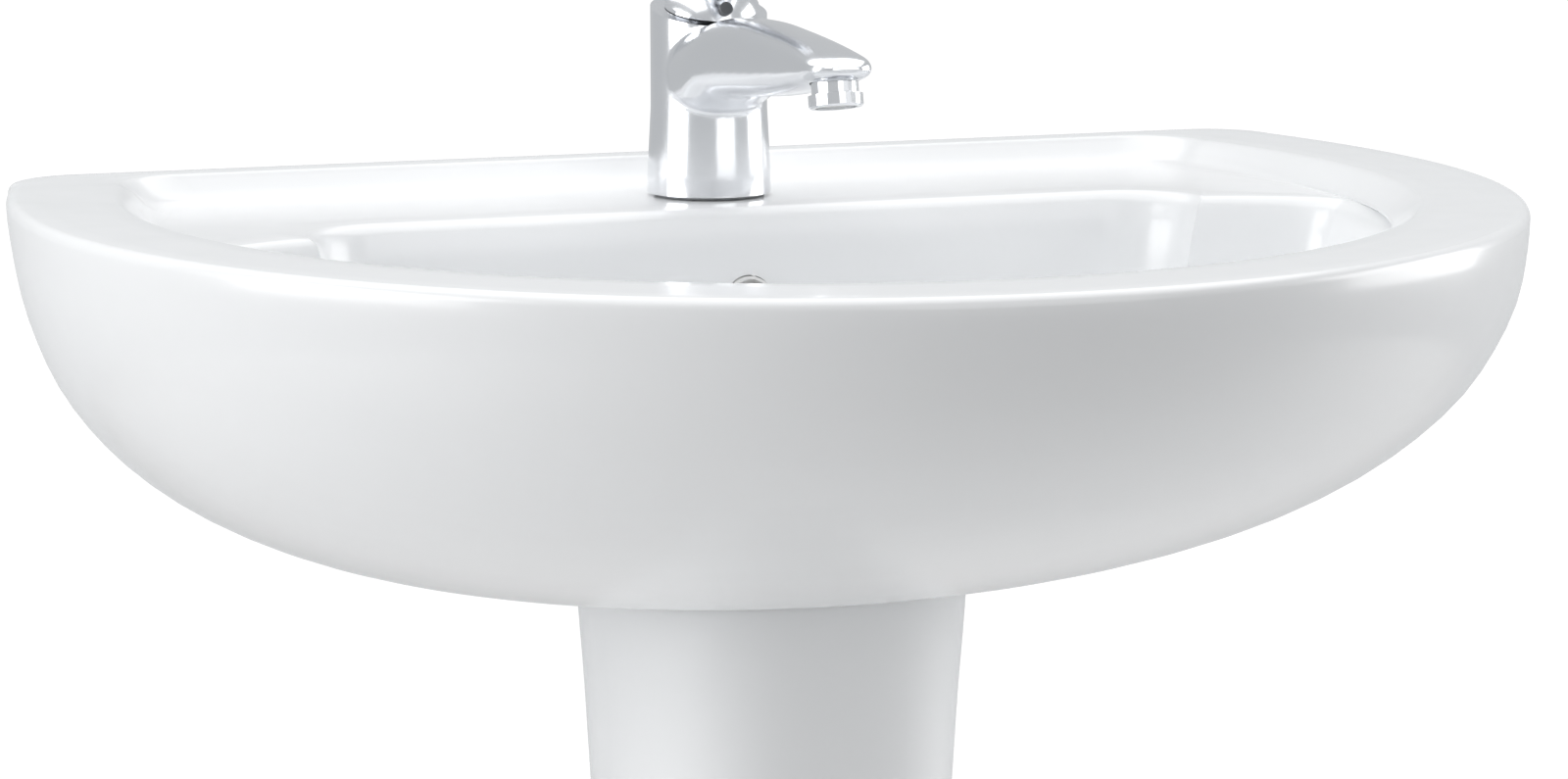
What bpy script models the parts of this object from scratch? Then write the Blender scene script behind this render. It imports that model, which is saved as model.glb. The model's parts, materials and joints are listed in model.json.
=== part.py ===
"""Pedestal washbasin with a single-lever mixer, a push-open waste and a bottle trap.

Metres, +Z up. The user stands on the -Y side and looks along +Y at the wall.
The origin is on the floor, under the middle of the whole object's box.
"""

import math

import bmesh
import bpy
from mathutils import Matrix, Vector

# ---------------------------------------------------------------- driving dimensions
GAP = 0.0003  # between pieces that touch on the real object

RIM_HEIGHT = 0.850  # top of the rim above the floor
BASIN_WIDTH = 0.650
BASIN_DEPTH = 0.500
BASIN_HEIGHT = 0.185
BACK_WIDTH = 0.618  # of the straight edge against the wall
SIDE_RUN = 0.155  # from the wall to the widest point
BACK_CORNER = 0.030
FRONT_FULLNESS = 2.33  # superellipse power of the section across the basin
DEPTH_FULLNESS = 2.16  # and of the section from the wall to the front
CHINA_WALL = 0.009
RIM_ROUND = 0.0045

RIM_WIDTH = 0.050
BACK_RIM = 0.020
LEDGE_DROP = 0.012
LEDGE_WIDTH = 0.018  # of the ledge round the bowl, at the front and the sides
DECK_DEPTH = 0.132  # from the wall to the bowl
BOWL_DEPTH = 0.138
BOWL_BACK_WIDTH = 0.544  # of the rim's edge that the bowl is drawn in from
BOWL_RUN = 0.200  # from the wall to the bowl's widest point
BOWL_FULLNESS = 2.5

DRAIN_FROM_WALL = 0.195
DRAIN_HOLE_R = 0.0230
DRAIN_SEAT_R = 0.0350
DRAIN_SEAT_DROP = 0.0030
TAP_FROM_WALL = 0.080
TAP_HOLE_R = 0.0175
OVERFLOW_R = 0.0110
OVERFLOW_DROP = 0.053
FIXING_SPACING = 0.280
FIXING_DROP = 0.070
FIXING_HOLE_R = 0.0070
BACK_OPENING_WIDTH = 0.150
BACK_OPENING_DROP = 0.055

PEDESTAL_TOP_DROP = 0.1545  # of the pedestal's top edge below the rim
PEDESTAL_FROM_WALL = 0.159  # of the middle of the pedestal
PEDESTAL_WALL = 0.010
PEDESTAL_CLEARANCE = 0.0012
PEDESTAL_POWER = 2.5
# height as a share of the pedestal's own, with half the width and half the depth there
PEDESTAL_SHAPE = (
    (0.000, 0.0980, 0.1000),
    (0.030, 0.0965, 0.0990),
    (0.060, 0.0900, 0.0945),
    (0.150, 0.0790, 0.0850),
    (0.350, 0.0715, 0.0790),
    (0.600, 0.0715, 0.0790),
    (0.780, 0.0745, 0.0820),
    (0.900, 0.0785, 0.0865),
    (0.965, 0.0815, 0.0900),
    (1.000, 0.0825, 0.0910),
)
PEDESTAL_BACK_CUT = 0.045  # how far the open back is cut forward of the rearmost point

STUD_R = 0.005
STUD_IN_WALL = 0.050
STUD_INSIDE = 0.045
STUD_NUT_AF = 0.017

TAP_BASE_R = 0.0280
TAP_NECK_R = 0.0262
TAP_TOP = 0.0840  # where the cartridge axis leaves the column, above the deck
TAP_LEAN = math.radians(12)  # of the cartridge axis, towards the user
TAP_SEAL = 0.0010
SPOUT_REACH = 0.1590  # from the column's axis to the aerator's
# distance from the column's axis, underside, top, half width
SPOUT_SHAPE = (
    (0.000, 0.0330, 0.0755, 0.0235),
    (0.028, 0.0405, 0.0800, 0.0235),
    (0.050, 0.0485, 0.0840, 0.0225),
    (0.075, 0.0515, 0.0845, 0.0205),
    (0.100, 0.0540, 0.0835, 0.0185),
    (0.130, 0.0585, 0.0815, 0.0165),
    (0.158, 0.0640, 0.0780, 0.0155),
    (0.168, 0.0665, 0.0760, 0.0130),
    (0.1735, 0.0700, 0.0735, 0.0070),
)
SPOUT_END = 0.0630  # of the spout's face above the deck, where the aerator is
AERATOR_R = 0.0116
AERATOR_DROP = 0.0085  # of the aerator below the spout
AERATOR_THREAD_R = 0.0100
AERATOR_TILT = math.radians(12)  # the jet leans towards the user

CARTRIDGE_R = 0.0173
CARTRIDGE_CLEARANCE = 0.0005
CARTRIDGE_DEPTH = 0.0300
PIVOT_DEPTH = 0.0090  # of the lever's pivot below the column's top
COVER_SEAT = 0.0047  # how far the cover stands outside the cartridge
LEVER_SHELL = 0.0040  # how far the lever stands outside the cover
LEVER_CLEARANCE = 0.0006
LEVER_LENGTH = 0.0980
SKIRT_LIFT = 0.0142  # of the lever's lower edge above the pivot, on the axis
SKIRT_SLOPE = math.radians(9.6)  # and its rise towards the back, so the lever can tip
STEM_R = 0.0040

WASTE_FLANGE_R = 0.0320
WASTE_TUBE_R = 0.0215
WASTE_TUBE_WALL = 0.0020
WASTE_LENGTH = 0.0850
WASTE_NUT_R = 0.0290
PLUG_R = 0.0300
PLUG_LIFT = 0.0080
PLUG_STEM_R = 0.0030

TRAP_PIPE_R = 0.0160
TRAP_BOTTLE_R = 0.0275
TRAP_BOTTLE_DROP = 0.0750  # from the trap's top nut to the top of the bottle
TRAP_BOTTLE_HEIGHT = 0.0600
TRAP_CUP_HEIGHT = 0.0550
TRAP_WALL = 0.0025
ROSETTE_R = 0.0320

# ---------------------------------------------------------------- places
COVER_R = CARTRIDGE_R + COVER_SEAT
LEVER_SHELL_R = COVER_R + LEVER_SHELL
WALL_Y = (BASIN_DEPTH - STUD_IN_WALL) / 2
DECK_Z = RIM_HEIGHT - LEDGE_DROP
BOWL_Z = RIM_HEIGHT - BOWL_DEPTH
SEAT_Z = BOWL_Z - DRAIN_SEAT_DROP
PEDESTAL_TOP = RIM_HEIGHT - PEDESTAL_TOP_DROP
PEDESTAL_Y = WALL_Y - PEDESTAL_FROM_WALL
DRAIN = Vector((0, WALL_Y - DRAIN_FROM_WALL, 0))
TAP = Vector((0, WALL_Y - TAP_FROM_WALL, DECK_Z))

# ---------------------------------------------------------------- scene, materials
for old in list(bpy.data.objects):
    bpy.data.objects.remove(old)

part = bpy.data.collections.new("pedestal_sink")
cutters = bpy.data.collections.new("cutters")
bpy.context.scene.collection.children.link(part)
bpy.context.scene.collection.children.link(cutters)


def material(name, colour, roughness, metallic=0.0):
    made = bpy.data.materials.new(name)
    made.use_nodes = True
    shader = made.node_tree.nodes["Principled BSDF"]
    shader.inputs["Base Color"].default_value = (*colour, 1)
    shader.inputs["Roughness"].default_value = roughness
    shader.inputs["Metallic"].default_value = metallic
    return made


CHINA = material("white_china", (0.90, 0.90, 0.90), 0.08)
CHROME = material("chrome", (0.80, 0.81, 0.83), 0.06, 1)
BRASS = material("brass", (0.72, 0.56, 0.28), 0.30, 1)
STEEL = material("zinc_steel", (0.60, 0.61, 0.63), 0.35, 1)
RUBBER = material("black_rubber", (0.03, 0.03, 0.03), 0.70)
PLASTIC = material("white_plastic", (0.85, 0.85, 0.84), 0.35)
ACETAL = material("acetal", (0.55, 0.57, 0.60), 0.40)
CERAMIC = material("disc_ceramic", (0.88, 0.87, 0.83), 0.20)
MARKER = material("index_marker", (0.10, 0.20, 0.70), 0.30)


# ---------------------------------------------------------------- building tools
def object_of(name, mesh, finish, folder=part):
    made = bpy.data.objects.new(name, mesh)
    folder.objects.link(made)
    if finish:
        mesh.materials.append(finish)
        mesh.shade_smooth()
        mesh.set_sharp_from_angle(angle=math.radians(35))
    return made


def helper(made):
    """Marks an object as a cutter."""
    made.hide_render = True
    made.display_type = "WIRE"
    return made


def mesh_of(name, bm):
    bmesh.ops.recalc_face_normals(bm, faces=bm.faces)
    mesh = bpy.data.meshes.new(name)
    bm.to_mesh(mesh)
    bm.free()
    return mesh


def loft(name, rings):
    """A closed mesh through rings of equally many points, with flat ends."""
    bm = bmesh.new()
    rows = [[bm.verts.new(p) for p in ring] for ring in rings]
    for low, high in zip(rows, rows[1:]):
        for i, here in enumerate(low):
            j = (i + 1) % len(low)
            bm.faces.new((here, low[j], high[j], high[i]))
    bm.faces.new(rows[0])
    bm.faces.new(rows[-1])
    return mesh_of(name, bm)


def turned_mesh(name, profile, steps):
    """A turned mesh about Z from (radius, z) points that run round its section."""
    bm = bmesh.new()
    columns = []
    for k in range(steps):
        angle = 2 * math.pi * k / steps
        c, s = math.cos(angle), math.sin(angle)
        columns.append([bm.verts.new((r * c, r * s, z)) for r, z in profile])
    for k, column in enumerate(columns):
        beside = columns[(k + 1) % steps]
        for i in range(len(profile)):
            j = (i + 1) % len(profile)
            bm.faces.new((column[i], column[j], beside[j], beside[i]))
    bmesh.ops.remove_doubles(bm, verts=bm.verts, dist=1e-6)
    return mesh_of(name, bm)


def ring_profile(inner, outer, low, high, edge=0.0):
    """The section of a ring, with a chamfer on its outer edges."""
    return [
        (inner, low),
        (outer - edge, low),
        (outer, low + edge),
        (outer, high - edge),
        (outer - edge, high),
        (inner, high),
    ] if edge else [(inner, low), (outer, low), (outer, high), (inner, high)]


def ring(name, inner, outer, low, high, finish, at=(0, 0, 0), steps=28, edge=0.0):
    profile = ring_profile(inner, outer, low, high, edge)
    made = object_of(name, turned_mesh(name, profile, steps), finish)
    made.location = at
    return made


def rod_mesh(name, radius, low, high, steps=20, top=None):
    bm = bmesh.new()
    bmesh.ops.create_cone(
        bm,
        cap_ends=True,
        segments=steps,
        radius1=radius,
        radius2=radius if top is None else top,
        depth=high - low,
    )
    bmesh.ops.translate(bm, vec=(0, 0, (low + high) / 2), verts=bm.verts)
    return mesh_of(name, bm)


def rod(name, radius, low, high, finish, at=(0, 0, 0), steps=20, top=None):
    made = object_of(name, rod_mesh(name, radius, low, high, steps, top), finish)
    made.location = at
    return made


def box_mesh(name, low, high):
    low, high = Vector(low), Vector(high)
    bm = bmesh.new()
    bmesh.ops.create_cube(bm, size=1)
    bmesh.ops.scale(bm, vec=high - low, verts=bm.verts)
    bmesh.ops.translate(bm, vec=(low + high) / 2, verts=bm.verts)
    return mesh_of(name, bm)


def cutter(name, mesh, at=(0, 0, 0), turn=None):
    made = helper(object_of(name, mesh, None, cutters))
    made.location = at
    if turn is not None:
        made.rotation_euler = turn
    return made


def boolean(target, other, operation="DIFFERENCE"):
    step = target.modifiers.new(other.name, "BOOLEAN")
    step.operation = operation
    step.object = other
    step.solver = "EXACT"


def tube(name, points, radius, finish, sides=3):
    """A solid round bar along points, as a curve."""
    curve = bpy.data.curves.new(name, "CURVE")
    curve.dimensions = "3D"
    line = curve.splines.new("POLY")
    line.points.add(len(points) - 1)
    for target, p in zip(line.points, points):
        target.co = (*p, 1)
    curve.bevel_depth = radius
    curve.bevel_resolution = sides
    curve.use_fill_caps = True
    curve.materials.append(finish)
    made = bpy.data.objects.new(name, curve)
    part.objects.link(made)
    return made


def hexagon_mesh(name, across_flats, bore, low, high):
    """A hexagonal nut with a plain bore."""
    corner = across_flats / math.sqrt(3)
    around = [2 * math.pi * k / 24 for k in range(24)]

    def outer(angle):
        within = (angle + math.pi / 6) % (math.pi / 3) - math.pi / 6
        return corner * math.cos(math.pi / 6) / math.cos(within)

    def circle(radius_at, z):
        return [
            (radius_at(a) * math.cos(a), radius_at(a) * math.sin(a), z) for a in around
        ]

    rings = [
        circle(lambda a: bore, low),
        circle(outer, low),
        circle(outer, high),
        circle(lambda a: bore, high),
    ]
    bm = bmesh.new()
    rows = [[bm.verts.new(p) for p in points] for points in rings]
    for low_row, high_row in zip(rows, rows[1:] + rows[:1]):
        for i in range(len(around)):
            j = (i + 1) % len(around)
            bm.faces.new((low_row[i], low_row[j], high_row[j], high_row[i]))
    return mesh_of(name, bm)


def nut(name, across_flats, bore, low, high, finish, at, turn=None):
    made = object_of(name, hexagon_mesh(name, across_flats, bore, low, high), finish)
    made.location = at
    if turn is not None:
        made.rotation_euler = turn
    return made


# ---------------------------------------------------------------- basin
def plan(half_width, depth, back_half, back=0.0, run=SIDE_RUN, corner=BACK_CORNER):
    """The basin's outline from above: straight at the wall, an ellipse in front.

    Every outline has the same number of points in the same order, so any two can be
    joined. Lengths are from the wall, and back is where the straight edge lies.
    """
    corner = max(min(corner, back_half * 0.5, (run - back) * 0.5), 1e-5)
    right = []
    for k in range(6):
        right.append(((back_half - corner) * k / 6, back))
    for k in range(4):
        a = math.pi / 2 * k / 3
        x = back_half - corner + corner * math.sin(a)
        right.append((x, back + corner * (1 - math.cos(a))))
    for k in range(1, 5):
        share = k / 5
        x = half_width + (back_half - half_width) * (1 - share) ** 2
        right.append((x, back + corner + (run - back - corner) * share))
    for k in range(15):
        a = math.pi / 2 * k / 14
        x = half_width * math.cos(a)
        right.append((x if k < 14 else 0.0, run + (depth - run) * math.sin(a)))
    left = [(-x, d) for x, d in reversed(right[1:-1])]
    return [Vector((x, WALL_Y - d, 0)) for x, d in right + left]


def level(outline, z):
    return [Vector((p.x, p.y, z)) for p in outline]


def mixed(outline, other, share):
    return [a.lerp(b, share) for a, b in zip(outline, other)]


def inset_plan(
    inset, back_inset, run=SIDE_RUN, corner=BACK_CORNER, back_half=BACK_WIDTH / 2
):
    return plan(
        BASIN_WIDTH / 2 - inset,
        BASIN_DEPTH - inset,
        back_half - inset,
        back_inset,
        run,
        corner,
    )


def outside_rings(wall):
    """The outer skin from the rounded rim down, moved in by wall."""
    rings = []
    for share in (1.0, 0.94, 0.85, 0.72, 0.56, 0.40, 0.25, 0.10, 0.0):
        angle = share * math.radians(80)
        t = math.sin(angle)
        across = (1 - t**FRONT_FULLNESS) ** (1 / FRONT_FULLNESS)
        along = (1 - t**DEPTH_FULLNESS) ** (1 / DEPTH_FULLNESS)
        top = RIM_HEIGHT - max(RIM_ROUND, wall)
        z = top - (top - RIM_HEIGHT + BASIN_HEIGHT) * t / math.sin(math.radians(80))
        outline = plan(
            BASIN_WIDTH / 2 * across * (1 - 0.02 * t * t) - wall,
            BASIN_DEPTH * along - wall,
            BACK_WIDTH / 2 * across * (1 - 0.12 * t) - wall,
            wall,
            SIDE_RUN * along,
        )
        lift = wall * t
        rings.append(level(outline, z + lift))
    return rings


def drain_circle(outline, radius, z):
    """A circle round the drain, with each point towards the outline's own."""
    made = []
    for p in outline:
        towards = Vector((p.x, p.y, 0)) - DRAIN
        made.append(DRAIN + towards.normalized() * radius + Vector((0, 0, z)))
    return made


def inside_rings(wall):
    """The rim, the ledge with the tap deck, and the bowl down to the drain's seat."""
    ledge_inset = RIM_WIDTH + LEDGE_WIDTH
    rim = inset_plan(RIM_WIDTH - wall, BACK_RIM - wall)
    ledge = inset_plan(RIM_WIDTH + 0.008 - wall, BACK_RIM + 0.008 - wall)
    bowl_half = BOWL_BACK_WIDTH / 2
    bowl = inset_plan(ledge_inset - wall, DECK_DEPTH - wall, BOWL_RUN, 0.060, bowl_half)
    edge = inset_plan(
        ledge_inset - 0.005 - wall, DECK_DEPTH - 0.006 - wall, BOWL_RUN, 0.062, bowl_half
    )
    outer = inset_plan(RIM_ROUND, RIM_ROUND)
    top = RIM_HEIGHT - wall
    rings = []
    if not wall:
        rolled = RIM_ROUND * 0.3
        rings.append(level(inset_plan(rolled, rolled * 0.6), top - rolled))
        rings.append(level(outer, top))
        rings.append(level(mixed(outer, rim, 0.88), top - 0.0004))
    rings.append(level(rim, top - 0.0030))
    rings.append(level(ledge, top - LEDGE_DROP + 0.0012))
    rings.append(level(mixed(ledge, edge, 0.12), top - LEDGE_DROP))
    rings.append(level(edge, top - LEDGE_DROP))
    rings.append(level(bowl, top - LEDGE_DROP - 0.0050))
    seat = drain_circle(bowl, DRAIN_SEAT_R + wall + 0.004, 0)
    bowl_top = LEDGE_DROP + 0.0050
    for share in (0.94, 0.85, 0.70, 0.50, 0.30, 0.12):
        drop = (1 - share**BOWL_FULLNESS) ** (1 / BOWL_FULLNESS)
        z = top - bowl_top - (BOWL_DEPTH - bowl_top) * drop * (1 - 0.04 * share)
        rings.append(level(mixed(seat, bowl, share), z))
    rings.append(level(seat, top - BOWL_DEPTH))
    if not wall:
        seat_z = top - BOWL_DEPTH - DRAIN_SEAT_DROP
        rings.append(drain_circle(bowl, DRAIN_SEAT_R, seat_z))
    else:
        rings[-1] = level(seat, top - BOWL_DEPTH - DRAIN_SEAT_DROP)
    return rings


def along_y(low, high):
    """Where a +Z rod from 0 to its length goes when it is laid along Y."""
    return (math.radians(-90), 0, 0) if high > low else (math.radians(90), 0, 0)


def make_basin():
    skin = loft("basin", outside_rings(0.0) + inside_rings(0.0))
    basin = object_of("basin", skin, CHINA)
    hollow = loft("hollow", outside_rings(CHINA_WALL) + inside_rings(CHINA_WALL))
    boolean(basin, cutter("hollow", hollow))
    socket = cutter("socket", pedestal_solid("socket", PEDESTAL_CLEARANCE, 0.0012))
    boolean(basin, socket)
    half = BACK_OPENING_WIDTH / 2
    opening = box_mesh(
        "back_opening",
        (-half, PEDESTAL_Y, PEDESTAL_TOP - 0.100),
        (half, WALL_Y + 0.02, RIM_HEIGHT - BASIN_HEIGHT + 0.030),
    )
    boolean(basin, cutter("back_opening", opening))
    window = box_mesh(
        "back_window",
        (-half, WALL_Y - 0.020, PEDESTAL_TOP - 0.050),
        (half, WALL_Y + 0.02, RIM_HEIGHT - BACK_OPENING_DROP),
    )
    boolean(basin, cutter("back_window", window))
    drain = rod_mesh("drain_hole", DRAIN_HOLE_R, -0.02, 0.02, 32)
    boolean(basin, cutter("drain_hole", drain, DRAIN + Vector((0, 0, SEAT_Z))))
    tap = rod_mesh("tap_hole", TAP_HOLE_R, -0.02, 0.02, 28)
    boolean(basin, cutter("tap_hole", tap, TAP))
    spill = rod_mesh("spill_hole", OVERFLOW_R, -0.025, 0.020, 24)
    place = (0, WALL_Y - DECK_DEPTH - 0.004, RIM_HEIGHT - OVERFLOW_DROP)
    boolean(basin, cutter("spill_hole", spill, place, (math.radians(90), 0, 0)))
    make_overflow_cup(place)
    for side, x in (("left", -FIXING_SPACING / 2), ("right", FIXING_SPACING / 2)):
        hole = rod_mesh("fixing_hole_" + side, FIXING_HOLE_R, -0.03, 0.03, 20)
        place = (x, WALL_Y, RIM_HEIGHT - FIXING_DROP)
        boolean(
            basin, cutter("fixing_hole_" + side, hole, place, (math.radians(90), 0, 0))
        )


def make_overflow_cup(place):
    """The insert in the overflow hole, closed at its back."""
    outer = OVERFLOW_R - 1.5 * GAP
    cup = [
        (0.0, -0.0160),
        (outer, -0.0160),
        (outer, -0.0005),
        (outer - 0.0012, -0.0005),
        (outer - 0.0012, -0.0148),
        (0.0, -0.0148),
    ]
    made = object_of("overflow_cup", turned_mesh("overflow_cup", cup, 28), PLASTIC)
    made.location = place
    made.rotation_euler = (math.radians(90), 0, 0)


# ---------------------------------------------------------------- pedestal
def pedestal_ring(half_width, half_depth, z):
    """A rounded section of the pedestal."""
    made = []
    for k in range(40):
        a = 2 * math.pi * k / 40
        c, s = math.cos(a), math.sin(a)
        x = half_width * math.copysign(abs(c) ** (2 / PEDESTAL_POWER), c)
        y = half_depth * math.copysign(abs(s) ** (2 / PEDESTAL_POWER), s)
        made.append(Vector((x, PEDESTAL_Y + y, z)))
    return made


def pedestal_solid(name, grow, above):
    rings = [
        pedestal_ring(w + grow, d + grow, share * PEDESTAL_TOP)
        for share, w, d in PEDESTAL_SHAPE
    ]
    _, width, depth = PEDESTAL_SHAPE[-1]
    if above:
        rings.append(pedestal_ring(width + grow, depth + grow, PEDESTAL_TOP + above))
    return loft(name, rings)


def make_pedestal():
    pedestal = object_of("pedestal", pedestal_solid("pedestal", 0.0, 0.0), CHINA)
    rings = [
        pedestal_ring(w - PEDESTAL_WALL, d - PEDESTAL_WALL, share * PEDESTAL_TOP)
        for share, w, d in PEDESTAL_SHAPE
    ]
    rings[0] = [Vector((p.x, p.y, -0.01)) for p in rings[0]]
    rings[-1] = [Vector((p.x, p.y, PEDESTAL_TOP + 0.01)) for p in rings[-1]]
    boolean(pedestal, cutter("pedestal_hollow", loft("pedestal_hollow", rings)))
    rear = PEDESTAL_Y + PEDESTAL_SHAPE[-1][2]
    back = box_mesh(
        "pedestal_back",
        (-0.2, rear - PEDESTAL_BACK_CUT, -0.01),
        (0.2, rear + 0.05, PEDESTAL_TOP + 0.01),
    )
    boolean(pedestal, cutter("pedestal_back", back))


# ---------------------------------------------------------------- wall fixings
def make_fixings():
    z = RIM_HEIGHT - FIXING_DROP
    turn = (math.radians(90), 0, 0)
    face = WALL_Y - CHINA_WALL
    for side, x in (("left", -FIXING_SPACING / 2), ("right", FIXING_SPACING / 2)):
        stud = rod("wall_stud_" + side, STUD_R, -STUD_IN_WALL, STUD_INSIDE, STEEL)
        stud.location = (x, WALL_Y, z)
        stud.rotation_euler = turn
        sleeve = turned_mesh(
            "wall_sleeve_" + side,
            [
                (STUD_R + GAP, 0.0005),
                (FIXING_HOLE_R - GAP, 0.0005),
                (FIXING_HOLE_R - GAP, CHINA_WALL + 0.002),
                (0.0125, CHINA_WALL + 0.002),
                (0.0125, CHINA_WALL + 0.005),
                (STUD_R + GAP, CHINA_WALL + 0.005),
            ],
            20,
        )
        made = object_of("wall_sleeve_" + side, sleeve, PLASTIC)
        made.location = (x, WALL_Y, z)
        made.rotation_euler = turn
        seat = face - 0.005 - GAP
        nut("wall_nut_" + side, STUD_NUT_AF, STUD_R + GAP, 0, 0.008, STEEL, (x, seat, z), turn)


# ---------------------------------------------------------------- mixer tap
def spout_ring(reach, low, high, half_width):
    """A rounded upright section of the spout at one distance from the column."""
    middle, half = (low + high) / 2, (high - low) / 2
    made = []
    for k in range(20):
        a = 2 * math.pi * k / 20
        c, s = math.cos(a), math.sin(a)
        x = half_width * math.copysign(abs(c) ** 0.8, c)
        z = middle + half * math.copysign(abs(s) ** 0.8, s)
        made.append(Vector((x, -reach, z)))
    return made


def lean_frame():
    """The cartridge's own frame: its origin is the lever's pivot, its +Z the axis."""
    top = TAP + Vector((0, 0, TAP_TOP))
    turn = Matrix.Rotation(TAP_LEAN, 4, "X")
    return Matrix.Translation(top) @ turn @ Matrix.Translation((0, 0, -PIVOT_DEPTH))


def jet_frame():
    """The aerator's frame: its origin is where the spout ends, its +Z points up it."""
    at = TAP + Vector((0, -SPOUT_REACH, SPOUT_END))
    return Matrix.Translation(at) @ Matrix.Rotation(-AERATOR_TILT, 4, "X")


def placed(made, frame):
    made.matrix_world = frame
    return made


def make_tap_body():
    base = TAP_SEAL + 2 * GAP
    column = turned_mesh(
        "tap_body",
        [
            (0.0, base),
            (TAP_BASE_R, base),
            (TAP_BASE_R, base + 0.003),
            (TAP_BASE_R - 0.0012, base + 0.0045),
            (TAP_NECK_R, 0.040),
            (TAP_NECK_R, TAP_TOP + 0.012),
            (0.0, TAP_TOP + 0.012),
        ],
        36,
    )
    body = object_of("tap_body", column, CHROME)
    body.location = TAP
    spout = cutter("spout", loft("spout", [spout_ring(*row) for row in SPOUT_SHAPE]), TAP)
    boolean(body, spout, "UNION")
    pivot = lean_frame()
    trim = box_mesh("tap_trim", (-0.04, -0.036, PIVOT_DEPTH), (0.04, 0.04, 0.05))
    boolean(body, placed(cutter("tap_trim", trim), pivot))
    bottom = PIVOT_DEPTH - CARTRIDGE_DEPTH
    bore = rod_mesh("tap_bore", CARTRIDGE_R + CARTRIDGE_CLEARANCE, bottom, 0.02, 32)
    boolean(body, placed(cutter("tap_bore", bore), pivot))
    under = rod_mesh("tap_under", 0.0205, -0.010, 0.028, 28)
    boolean(body, cutter("tap_under", under, TAP))
    for side, x in (("hot", -0.008), ("cold", 0.008)):
        way = rod_mesh("tap_inlet_" + side, 0.0035, 0.020, 0.060, 12)
        boolean(body, cutter("tap_inlet_" + side, way, TAP + Vector((x, 0.002, 0))))
    jet = jet_frame()
    thread = rod_mesh("jet_bore", AERATOR_THREAD_R + 0.0005, -0.020, 0.0085, 24)
    boolean(body, placed(cutter("jet_bore", thread), jet))
    way = rod_mesh("waterway", 0.0045, 0.0, SPOUT_REACH - 0.005, 12)
    start = TAP + Vector((0, 0.0, 0.0675))
    boolean(body, cutter("waterway", way, start, (math.radians(90), 0, 0)))


def make_tap_fixings():
    ring("tap_base_seal", 0.0190, TAP_BASE_R - 0.003, GAP, TAP_SEAL + GAP, RUBBER, TAP)
    under = -CHINA_WALL - 2 * GAP - 0.0006
    ring("tap_under_seal", 0.0180, 0.0240, under - 0.003, under, RUBBER, TAP)
    plate = rod("tap_clamp_plate", 0.0240, under - 0.0063, under - 0.0033, STEEL, TAP, 28)
    slot = box_mesh("plate_slot", (-0.0148, -0.0060, -0.05), (0.0148, 0.0060, 0.0))
    boolean(plate, cutter("plate_slot", slot, TAP))
    for side, y in (("front", -0.0140), ("rear", 0.0140)):
        hole = rod_mesh("plate_hole_" + side, 0.0031, -0.05, 0.0, 12)
        boolean(plate, cutter("plate_hole_" + side, hole, TAP + Vector((0, y, 0))))
        at = TAP + Vector((0, y, 0))
        rod("tap_stud_" + side, 0.0028, under - 0.040, 0.0275, STEEL, at, 12)
        low = under - 0.0066 - 0.0080
        nut("tap_stud_nut_" + side, 0.0095, 0.0031, low, low + 0.008, BRASS, at)
    for side, x in (("hot", -0.0085), ("cold", 0.0085)):
        at = TAP + Vector((x, 0, 0))
        ring("inlet_tail_" + side, 0.0032, 0.0050, under - 0.060, 0.0270, BRASS, at, 16)


def make_aerator():
    jet = jet_frame()
    low = -AERATOR_DROP
    collar = turned_mesh(
        "aerator_housing",
        [
            (0.0088, low),
            (AERATOR_R - 0.0008, low),
            (AERATOR_R, low + 0.0008),
            (AERATOR_R, -0.0030),
            (AERATOR_THREAD_R, -0.0026),
            (AERATOR_THREAD_R, 0.0050),
            (0.0088, 0.0050),
        ],
        28,
    )
    placed(object_of("aerator_housing", collar, CHROME), jet)
    insert = turned_mesh(
        "aerator_insert",
        [(0.0, low + 0.0012), (0.0085, low + 0.0012), (0.0085, 0.0048), (0.0, 0.0048)],
        20,
    )
    placed(object_of("aerator_insert", insert, PLASTIC), jet)
    seal = ring("aerator_seal", 0.0070, AERATOR_THREAD_R, 0.0053, 0.0073, RUBBER, steps=20)
    placed(seal, jet)


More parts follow.
